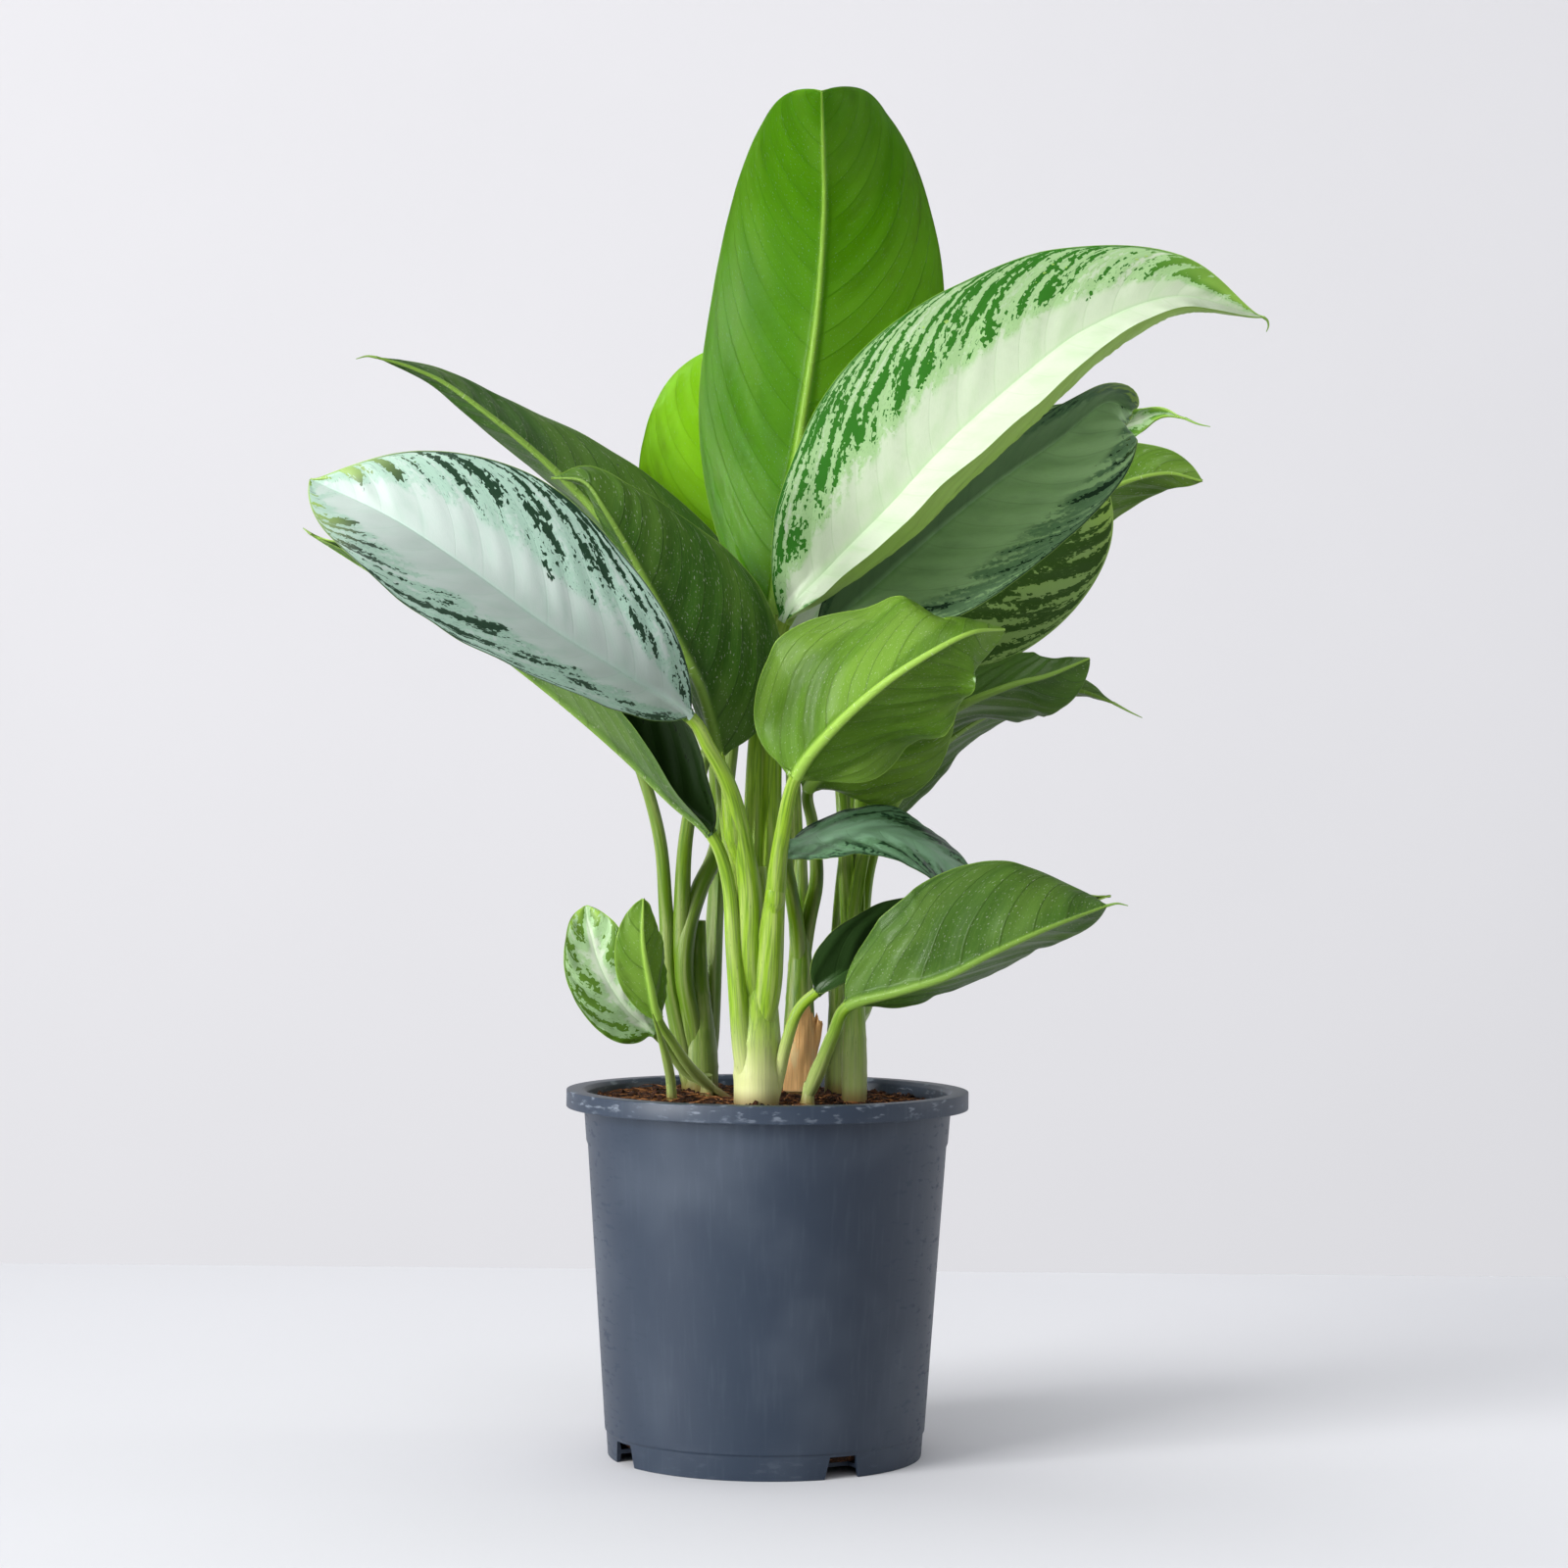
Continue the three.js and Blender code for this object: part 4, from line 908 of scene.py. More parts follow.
def upper_finish(name, silver, soft, streak, rib, shaded):
    """A blade's upper face: silver between its veins, with jagged dark streaks that run in from the margin.

    shaded is how much painted shade darkens the half beyond the midrib.
    """
    finish = Finish(name)
    lane, reach, seed = finish.attributes("lie")
    share, place, phase = finish.attributes("spread")
    cover, ridge, margin = finish.attributes("mark")

    def lengthwise(across, out, detail):
        """Noise that runs along the side veins."""
        return finish.noise(finish.join(lane * across, reach * out, seed), 1, detail)

    fine = lengthwise(1.1, 0.45, 3)
    block, aside, along_it = finish.split(finish.cells(finish.place(), 1 / BLOCK).also("Color"))
    lanes = finish.noise(finish.join(lane * 0.14 + aside * 0.4, reach * 0.07 + along_it * 0.3, seed), 1, 2)
    level = lanes + cover * 0.22 + block * 0.08 - 0.77
    streaks = finish.rise(level, 0, 0.01) * finish.rise(cover, 0.02, 0.08)
    halo = finish.rise(level, -0.26, -0.1) * finish.rise(cover, 0.05, 0.35)
    near_margin = finish.rise(margin, 1.3, 0.5)
    dark = streaks.or_more(near_margin * 0.9)
    specks = finish.rise(lengthwise(1.4, 0.9, 1), 0.66, 0.69) * halo
    vein = finish.rise(phase.folded(0.5), 0.05, 0.005)
    at_tip = finish.rise(place, 0.78, 0.97) * finish.rise(share, 0.2, 0.7)
    face = finish.painted(silver, [
        (finish.rise(lengthwise(0.11, 0.07, 2), 0.45, 0.75, 0, 0.25), soft),
        (vein * 0.15, soft),
        (finish.rise(fine, 0.45, 0.75, 0, 0.1), soft),
        (halo * 0.85, soft),
        # Painted shade: the half beyond the midrib, darkened by the shaded amount.
        (finish.rise(reach, 1, -4) * shaded, scaled(soft, 0.3)),
        (specks * 0.7, streak),
        (dark, finish.mix(at_tip * 0.6, streak, rib)),
        (ridge * 0.35, soft),
        (finish.rise(margin, 0.35, 0.1) * 0.5, rib),
    ])
    inputs = {"Base Color": face, "Roughness": 0.4 - dark * 0.08, "Specular IOR Level": 0.25}
    shader = finish.shine(inputs, fine * 0.35 - vein * 0.35 + lengthwise(3, 2, 1) * 0.2)
    passed = 0.2 - ridge * 0.15 - dark * 0.17
    return finish.done(finish.glow_through(shader, passed, tuple(0.9 * c + 0.02 for c in silver)))


def lower_finish(name, green, rib, passed, tint):
    """A blade's lower face: plain green, with curved side veins and a light raised midrib."""
    finish = Finish(name)
    lane, reach, seed = finish.attributes("lie")
    _, _, phase = finish.attributes("spread")
    _, ridge, margin = finish.attributes("mark")

    def patches(across, out, detail):
        return finish.noise(finish.join(lane * across, reach * out, seed), 1, detail)

    fine = patches(0.9, 0.5, 3)
    vein = finish.rise(phase.folded(0.5), 0.055, 0.01)
    small_veins = finish.rise((phase * 5).folded(0.5), 0.2, 0.02)
    dust = finish.rise(patches(1.3, 1.3, 0), 0.74, 0.78)
    darker = scaled(green, 0.55)
    lighter = between(green, rib, 0.5)
    face = finish.painted(green, [
        # Partly painted: these broad darker and lighter patches are the blade's uneven tone, and also painted
        # shade and light standing in for other blades' shadows seen through it.
        (finish.rise(patches(0.07, 0.05, 2), 0.35, 0.65, 0, 0.5), darker),
        (finish.rise(patches(0.02, 0.03, 2), 0.44, 0.6, 0, 0.5), lighter),
        (vein * 0.7, darker),
        (small_veins * 0.12, lighter),
        (finish.rise(fine, 0.45, 0.75, 0, 0.2), lighter),
        (ridge * ridge, rib),
        (finish.rise(margin, 0.7, 0.2) * 0.7, rib),
        (dust * 0.3, DUST),
    ])
    inputs = {"Base Color": face, "Roughness": 0.36, "Specular IOR Level": 0.15}
    shader = finish.shine(inputs, fine * 0.3 + vein * 0.9 + small_veins * 0.15)
    return finish.done(finish.glow_through(shader, passed - ridge * passed * 0.7, tint))


def matt_finish(name, tint):
    finish = Finish(name)
    mottle = finish.noise(finish.place(), 3, 2)
    shade = finish.mix(finish.rise(mottle, 0.3, 0.7, 0, 0.03), tint, GREY)
    return finish.done(finish.shine({"Base Color": shade, "Roughness": 0.8, "Specular IOR Level": 0.1}))


# The drain notches: how many, the first one's turn in degrees, the middle of one from the axis, its sizes,
# and how far its cutter reaches below the ground
NOTCHES = 4
NOTCH_TURN = 29
NOTCH_MIDDLE = 72.75
NOTCH_HEIGHT = 10.3
NOTCH_BOTTOM = 18.5
NOTCH_TOP = 13.5
NOTCH_DEPTH = 13.5
NOTCH_OVERCUT = 1

# The middle pad, the hollow around it, the floor above them, the steps in the wall, how far its edges are
# rounded, and how sharp an edge is that is rounded
PAD_RADIUS = 18
HOLLOW = 4
FLOOR = 6
FOOT_FLARE = 0.8
STEP_BAND = 0.6
COLLAR_SLOPE = 2
COLLAR_STEP = 0.6
EDGE_BEVEL = 0.6
SHARP = math.radians(25)
POT_STEPS = 160


def pot_profile(pot):
    """The pot's outline in millimetres, from the middle of its foot, round the wall, to that of its floor."""
    top, rim, lip, neck, wall, foot, step, step_radius, collar_drop = (
        size / MM
        for size in (
            pot.height, pot.rim_radius, pot.lip_height, pot.neck_radius, pot.wall, pot.foot_radius,
            pot.step_height, pot.step_radius, pot.collar_drop,
        )
    )
    collar = top - collar_drop
    below = collar - COLLAR_SLOPE

    def outside(z):
        return lerp(step_radius, neck, (z - step) / (top - step))

    under = [
        (0, 0), (PAD_RADIUS, 0), (PAD_RADIUS, HOLLOW), (foot - wall, HOLLOW), (foot - wall, 0), (foot, 0),
    ]
    steps = [
        (foot + FOOT_FLARE, step), (step_radius, step + STEP_BAND),
        (outside(below) - COLLAR_STEP, below), (outside(collar), collar),
    ]
    rolled_rim = [
        (neck, top - wall), (rim - wall, top - wall), (rim - wall, top - lip), (rim, top - lip), (rim, top),
        (neck, top),
    ]
    inside = [
        (neck - wall, top - wall), (outside(collar) - wall, collar), (step_radius - wall, step),
        (foot - wall, FLOOR), (0, FLOOR),
    ]
    return under + steps + rolled_rim + inside


def turned(bm, profile, steps):
    """Adds a closed round body: a profile in millimetres, from axis to axis, spun about the upright axis."""
    verts = [bm.verts.new(Vector((r, 0, z)) * MM) for r, z in profile]
    edges = [bm.edges.new(pair) for pair in zip(verts, verts[1:])]
    bmesh.ops.spin(
        bm, geom=verts + edges, cent=(0, 0, 0), axis=UP, dvec=(0, 0, 0), angle=TURN, steps=steps,
        use_merge=True,
    )
    poles = [vert for vert in bm.verts if vert.co.xy.length < SAME_PLACE]
    bmesh.ops.remove_doubles(bm, verts=poles, dist=SAME_PLACE)
    bmesh.ops.recalc_face_normals(bm, faces=bm.faces)


def carved(bm, cutter):
    """The first bmesh with the second cut out of it. Both are freed."""
    body, tool = placed("carved", bm), placed("cutter", cutter)
    cut = body.modifiers.new("cut", "BOOLEAN")
    cut.operation = "DIFFERENCE"
    cut.solver = "EXACT"
    cut.object = tool
    made = bmesh.new()
    made.from_mesh(body.evaluated_get(bpy.context.evaluated_depsgraph_get()).to_mesh())
    for used in (body, tool):
        mesh = used.data
        bpy.data.objects.remove(used)
        bpy.data.meshes.remove(mesh)
    return made


class EVERGREEN_OT_pot(bpy.types.Operator):
    """Turn the nursery pot, with its rolled rim, faint collar, stepped foot and drain notches"""

    bl_idname = "evergreen.pot"
    bl_label = "Pot"

    def execute(self, context):
        pot = context.scene.evergreen_pot
        bm = bmesh.new()
        turned(bm, pot_profile(pot), POT_STEPS)
        hoops = [edge for edge in bm.edges if self.is_hoop(edge) and edge.calc_face_angle(0) > SHARP]
        bmesh.ops.bevel(
            bm, geom=hoops, offset=EDGE_BEVEL * MM, offset_type="OFFSET", segments=3, profile=0.5,
            affect="EDGES", material=-1, clamp_overlap=True,
        )
        piece("nursery_pot", carved(bm, self.notches()), [plastic_finish(pot)], ["pot"])
        return {"FINISHED"}

    def is_hoop(self, edge):
        """Whether an edge runs around the pot."""
        here, there = (vert.co for vert in edge.verts)
        return abs(here.z - there.z) < SAME_PLACE and abs(here.xy.length - there.xy.length) < SAME_PLACE

    def notches(self):
        """The cutters of the drain notches: four-sided cones, wider at the ground."""
        bm = bmesh.new()
        square = Matrix.Rotation(TURN / 8, 3, "Z")
        middle = Vector((0, -NOTCH_MIDDLE, (NOTCH_HEIGHT - NOTCH_OVERCUT) / 2)) * MM
        for k in range(NOTCHES):
            made = bmesh.ops.create_cone(
                bm, segments=4, cap_ends=True, radius1=NOTCH_BOTTOM / math.sqrt(2) * MM,
                radius2=NOTCH_TOP / math.sqrt(2) * MM, depth=(NOTCH_HEIGHT + NOTCH_OVERCUT) * MM,
            )["verts"]
            bmesh.ops.rotate(bm, verts=made, cent=(0, 0, 0), matrix=square)
            bmesh.ops.scale(bm, verts=made, vec=(1, NOTCH_DEPTH / NOTCH_TOP, 1))
            bmesh.ops.translate(bm, verts=made, vec=middle)
            turn = Matrix.Rotation(math.radians(NOTCH_TURN) + TURN * k / NOTCHES, 3, "Z")
            bmesh.ops.rotate(bm, verts=made, cent=(0, 0, 0), matrix=turn)
        return bm


# The soil's surface, how much higher it lies at the left, its outline below, inside the pot's wall and floor,
# and the size of its clods
SOIL_RADIUS = 83.5
SOIL_RINGS = 60
SOIL_STEPS = 200
SOIL_TILT = 1.2
SOIL_FOOT = [(72.5, 13), (68.5, 6.6), (0, 6.6)]
CLOD = 14
CLOD_SHARE = 0.6

# Crumbs: the seed of their chances, how far they keep from the wall, their least and greatest size, how many
# are small, how far they stand out of the soil, and how far their corners are off, as shares of their size
CRUMB_SEED = 7
CRUMB_MARGIN = 2.5
CRUMB_SIZE = (0.5, 2.4)
CRUMB_SMALLNESS = 2.5
CRUMB_RISE = 0.25
CRUMB_ROUGHNESS = 0.22

# Fibres: the seed of their chances, how far they keep from the wall, their points and the steps between them,
# how far they bend and wander at a point, in radians, how high they arch, and their radius
FIBRE_SEED = 11
FIBRE_MARGIN = 4
FIBRE_POINTS = 6
FIBRE_STEP = (1.6, 4.6)
FIBRE_BEND = 0.9
FIBRE_WANDER = 0.25
FIBRE_ARCH = 2.4
FIBRE_RADIUS = (0.14, 0.34)


def soil_height(soil, x, y):
    """The height of the soil's uneven surface, in millimetres."""
    clods = noise.fractal(Vector((x, y, 5)) / CLOD, 0.7, 2.2, 4)
    return soil.top / MM - SOIL_TILT * x / SOIL_RADIUS + clods * soil.roughness / MM * CLOD_SHARE


class EVERGREEN_OT_soil(bpy.types.Operator):
    """Fill the pot with soil, and scatter crumbs and coir fibres over it"""

    bl_idname = "evergreen.soil"
    bl_label = "Soil"

    def execute(self, context):
        soil = context.scene.evergreen_soil
        rings = [(SOIL_RADIUS * k / SOIL_RINGS, soil.top / MM) for k in range(SOIL_RINGS + 1)]
        bm = bmesh.new()
        turned(bm, rings + SOIL_FOOT, SOIL_STEPS)
        for vert in bm.verts:
            x, y, z = vert.co / MM
            if z > soil.top / MM - 1:
                vert.co.z = soil_height(soil, x, y) * MM
        piece("potting_soil", bm, [soil_finish(soil)], ["soil"], crease=80)
        self.scatter_crumbs(soil)
        self.scatter_fibres(soil)
        return {"FINISHED"}

    def spot(self, dice, reach):
        """A random place on the soil, within reach of its middle."""
        angle = dice.uniform(0, TURN)
        radius = reach * math.sqrt(dice.random())
        return radius * math.cos(angle), radius * math.sin(angle)

    def scatter_crumbs(self, soil):
        dice = random.Random(CRUMB_SEED)
        bm = bmesh.new()
        for _ in range(soil.crumbs):
            x, y = self.spot(dice, SOIL_RADIUS - CRUMB_MARGIN)
            size = lerp(*CRUMB_SIZE, dice.random() ** CRUMB_SMALLNESS)
            angle = dice.uniform(0, TURN)
            turn = Matrix.Rotation(angle, 4, (dice.random(), dice.random(), dice.random() + 0.1))
            flat = Matrix.Diagonal((1, dice.uniform(0.5, 1), dice.uniform(0.4, 0.8), 1))
            height = soil_height(soil, x, y) + size * CRUMB_RISE
            lie = Matrix.Translation(Vector((x, y, height)) * MM) @ turn @ flat
            crumb = bmesh.ops.create_icosphere(bm, subdivisions=1, radius=size * MM, matrix=lie)
            for vert in crumb["verts"]:
                shift = Vector([dice.uniform(-CRUMB_ROUGHNESS, CRUMB_ROUGHNESS) for _ in range(3)])
                vert.co += shift * size * MM
        finish = fibre_finish("bark crumbs", soil.coir, soil.earth)
        piece("soil_crumbs", bm, [finish], crease=30)

    def scatter_fibres(self, soil):
        dice = random.Random(FIBRE_SEED)
        bm = bmesh.new()
        for _ in range(soil.fibres):
            x, y = self.spot(dice, SOIL_RADIUS - FIBRE_MARGIN)
            heading = dice.uniform(0, TURN)
            bend = dice.uniform(-FIBRE_BEND, FIBRE_BEND)
            step = dice.uniform(*FIBRE_STEP)
            arch = dice.uniform(0, FIBRE_ARCH) * dice.random()
            points = []
            for k in range(FIBRE_POINTS):
                lift = 0.4 + arch * math.sin(math.pi * k / (FIBRE_POINTS - 1))
                points.append((x, y, soil_height(soil, x, y) + lift))
                x += step * math.cos(heading)
                y += step * math.sin(heading)
                heading += bend + dice.uniform(-FIBRE_WANDER, FIBRE_WANDER)
                if math.hypot(x, y) > SOIL_RADIUS - 1:
                    break
            if len(points) > 2:
                radius = dice.uniform(*FIBRE_RADIUS)
                path, _ = even_stations(points, 8)
                tube(bm, path, lambda u, v: radius * (1 - 0.7 * v), 4)
        piece("coir_fibres", bm, [fibre_finish("coir fibre", soil.straw, soil.coir)], crease=80)


# The height of the canes' buried ends, and the height of a cane under which its stalks start from the soil
CANE_FOOT = 120
SHORT_CANE = 180
CANE_STEPS = 60
STALK_STEPS = 56
STEM_SIDES = 36

# A ring's width as a share of the gap between rings, its rise as a share of the radius, and how uneven the
# cane is
RING_WIDTH = 0.07
RING_RISE = 0.03
CANE_UNEVENNESS = 0.035

# How far down its cane a sheath starts, the shares of the stalk between which it ends, and, as shares of the
# way around, where its margins are, how thin they are, and where the groove between them starts to rise
SHEATH_RUN = 42
SHEATH_END = (0.45, 0.62)
MARGIN_PLACE = 0.11
MARGIN_SPREAD = 0.022
GROOVE_EDGE = 0.05

# The radii of a sheath's free tip, and the new shoot: its path, its radii and the rise of its rolled edge
SHEATH_TIP = [0.5, 4.8, 3.2, 0.3]
SPIKE = [(-45, -16, 120), (-45, -16, 150), (-45, -17, 170), (-47, -28, 188), (-53, -48, 210)]
SPIKE_RADII = [3, 3, 2.6, 0.4]
SPIKE_EDGE = 0.22


def cane(bm, name, layers, shoots):
    """The upright cane at a shoot's foot, with the rings that old sheaths leave on it."""
    shoot = CANES[name]
    x, y, _ = shoot["path"][0]
    points = [(x, y, CANE_FOOT), *shoot["path"]]
    path, run = even_stations(points, CANE_STEPS)

    def shape(u, v):
        on_ring = abs(v * run * MM / shoots.ring_gap % 1 - 0.5) < RING_WIDTH
        rise = RING_RISE if on_ring else 0
        swell = CANE_UNEVENNESS * noise.noise(Vector((3 * u, 12 * v, x))) * math.sin(math.pi * u)
        return along(shoot["radius"], v) * (1 + rise + swell)

    tube(bm, path, shape, STEM_SIDES, layers)


def stalk(bm, blade, layers, shoots):
    """A blade's stalk: a sheath with thin margins below, a round stem above."""
    foot, joint = blade["stem"]
    axis = Vector(CANES[blade["shoot"]]["path"][0])
    start, after = (Vector(point) for point in blade["stalk"][:2])
    if CANES[blade["shoot"]]["path"][-1][2] < SHORT_CANE:
        root = start + 1.5 * (start - after)
    else:
        root = Vector((axis.x, axis.y, max(start.z - SHEATH_RUN, CANE_FOOT)))
    points = [root, *blade["stalk"], *blade["rib"]]
    path, _ = stations(points, 0, len(blade["stalk"]), evenly(STALK_STEPS))
    point, growth = path[STALK_STEPS // 3]
    right, back = sides(growth)
    inwards = Vector((axis.x - point.x, axis.y - point.y, 0))
    facing = math.atan2(inwards.dot(back), inwards.dot(right)) / TURN % 1

    def shape(u, v):
        out = smooth(path[round(v * STALK_STEPS)][0].z, root.z, start.z + SHEATH_RUN / 4)
        radius = lerp(foot, joint, smooth(v, 0, 1) * 0.6 + v * 0.4) * lerp(0.4, 1, out)
        aside = abs((u - facing + 0.5) % 1 - 0.5)
        sheath = 1 - smooth(v, *SHEATH_END)
        wing = shoots.wing * math.exp(-(((aside - MARGIN_PLACE) / MARGIN_SPREAD) ** 2)) * sheath
        groove = shoots.groove * (1 - smooth(aside, GROOVE_EDGE, MARGIN_PLACE)) * (1 - 0.4 * v)
        return radius * (1 + wing - groove)

    tube(bm, path, shape, STEM_SIDES, layers)


def stem_layers(bm):
    """The layers of what a stem's finish needs to know at each vertex."""
    return bm.verts.layers.float_vector.new("grain"), bm.verts.layers.float.new("height")


class EVERGREEN_OT_shoots(bpy.types.Operator):
    """Raise the shoots: canes, sheathed stalks and sheath tips"""

    bl_idname = "evergreen.shoots"
    bl_label = "Shoots"

    def execute(self, context):
        shoots = context.scene.evergreen_shoots
        finishes = {
            look: stem_finish(f"{look} stem", getattr(shoots, look), blanching, shoots)
            for look, blanching in (("pale", 0.8), ("fresh", 0.3), ("deep", 0.15))
        }
        for name, shoot in CANES.items():
            bm = bmesh.new()
            layers = stem_layers(bm)
            cane(bm, name, layers, shoots)
            for blade in BLADES.values():
                if blade["shoot"] == name:
                    stalk(bm, blade, layers, shoots)
            for points in shoot.get("tips", []):
                path, _ = even_stations(points, 16)
                tube(bm, path, lambda u, v: along(SHEATH_TIP, v), 20, layers)
            piece(f"stems_{name}", bm, [finishes[shoot["green"]]], [f"shoot_{name}"])
        self.roll_spike(finishes["fresh"])
        return {"FINISHED"}

    def roll_spike(self, finish):
        """The new shoot: a blade still rolled up, with the edge of the roll along it."""
        bm = bmesh.new()
        layers = stem_layers(bm)
        path, _ = even_stations(SPIKE, 40)

        def shape(u, v):
            turn = (u + 0.6 * v) % 1
            roll = 1 - SPIKE_EDGE * (smooth(turn, 0, 0.92) - smooth(turn, 0.92, 1))
            return along(SPIKE_RADII, v) * roll

        tube(bm, path, shape, 32, layers)
        piece("rolled_blade", bm, [finish], ["new_shoot"])


# The dry sheath: its sizes, the arc that it wraps and its turn in degrees, its rows and columns, and how much
# its arc closes and its sides fall off towards its top
DRY_SHEATH = {
    "centre": (15, 38), "radius": 8.6, "flare": 3.6, "foot": 168.6, "height": 48, "thickness": 0.45,
    "arc": 150, "turn": 10, "rows": 44, "columns": 36, "closing": 0.35, "peak": 0.5,
}


class EVERGREEN_OT_dry_sheath(bpy.types.Operator):
    """Wrap a dead, torn sheath around the foot of a cane"""

    bl_idname = "evergreen.dry_sheath"
    bl_label = "Dry Sheath"

    def execute(self, context):
        sheath = DRY_SHEATH
        places = [place - 0.5 for place in evenly(sheath["columns"])]
        rows = [[self.point(sheath, s, t) for t in places] for s in evenly(sheath["rows"])]
        bm = bmesh.new()
        paper = bm.verts.layers.float_vector.new("paper")

        def mark(vert, i, j):
            across = j / sheath["columns"]
            up = i / sheath["rows"]
            edge = min(across, 1 - across, 1 - up, up * 1.5) * 40
            vert[paper] = Vector((across * 30, up * sheath["height"], edge))

        half = sheath["thickness"] / 2
        sheet(bm, rows, lambda i, j: half, lambda i, j: half, mark)
        finish = dry_finish(context.scene.evergreen_shoots)
        piece("papery_sheath", bm, [finish], ["dry_sheath"])
        return {"FINISHED"}

    def point(self, sheath, s, t):
        """A point of the crumpled paper, at a share of its height and of its arc."""
        x, y = sheath["centre"]
        ragged = 0.9 + 0.1 * noise.noise(Vector((t * 16, 4, 0))) + 0.06 * noise.noise(Vector((t * 50, 9, 0)))
        angle = math.radians(sheath["turn"] - 90 + sheath["arc"] * t * (1 - sheath["closing"] * s))
        crumple = 0.9 * noise.noise(Vector((t * 6, s * 3, 2))) + s * math.sin(TURN * (1.4 * t + 0.5 * s))
        out = sheath["radius"] + sheath["flare"] * s**2 + crumple
        top = sheath["height"] * (1 - sheath["peak"] * abs(t)) * ragged
        return Vector((x + out * math.cos(angle), y + out * math.sin(angle), sheath["foot"] + s * top))


# The rows along a blade and the columns of a half, and how far they draw together, the columns towards the
# midrib and the rows towards the ends
BLADE_ROWS = 88
HALF_COLUMNS = 22
COLUMN_POWER = 1.6
END_PULL = 0.6

# The share of a blade's length over which the stalk's width runs out, and the half width left at the tip
STEM_SHARE = 0.25
TIP_HALF_WIDTH = 0.35

# How far a side vein runs towards the tip on its way to the margin, as shares of the half's width: evenly,
# and in a sweep near the margin
VEIN_SLANT = 0.6
VEIN_SWEEP = 1.4

# Where the swelling between the veins rises and falls away, as shares of the half's width and of the length
SWELL_ACROSS = (0.02, 0.25, 0.8, 1)
SWELL_ALONG = (0, 0.12, 0.85, 1)

# The height of the small unevenness at the margin, that of a blade's broad sway, how square its edge is,
# and the radii of a tail at its start and its end
RAGGEDNESS = 0.9
SWAY = 0.8
EDGE_SQUARENESS = 8
TAIL = (0.75, 0.2)
SIDES = ("left", "right")


def outline(shape, share, side=0):
    """The width of a blade's left or right half at a share of its length, as a share of its greatest."""
    widest, base, *tips = shape
    power = lerp(base, tips[side], smooth(share, widest - 0.25, widest + 0.25)) if tips else base
    rise = (share / widest) ** (power * widest)
    fall = ((1 - share) / (1 - widest)) ** (power * (1 - widest))
    return rise * fall


def curled(turn):
    """How much of its width a half keeps where it is curled."""
    return math.sin(turn / 2) / (turn / 2) if turn else 1


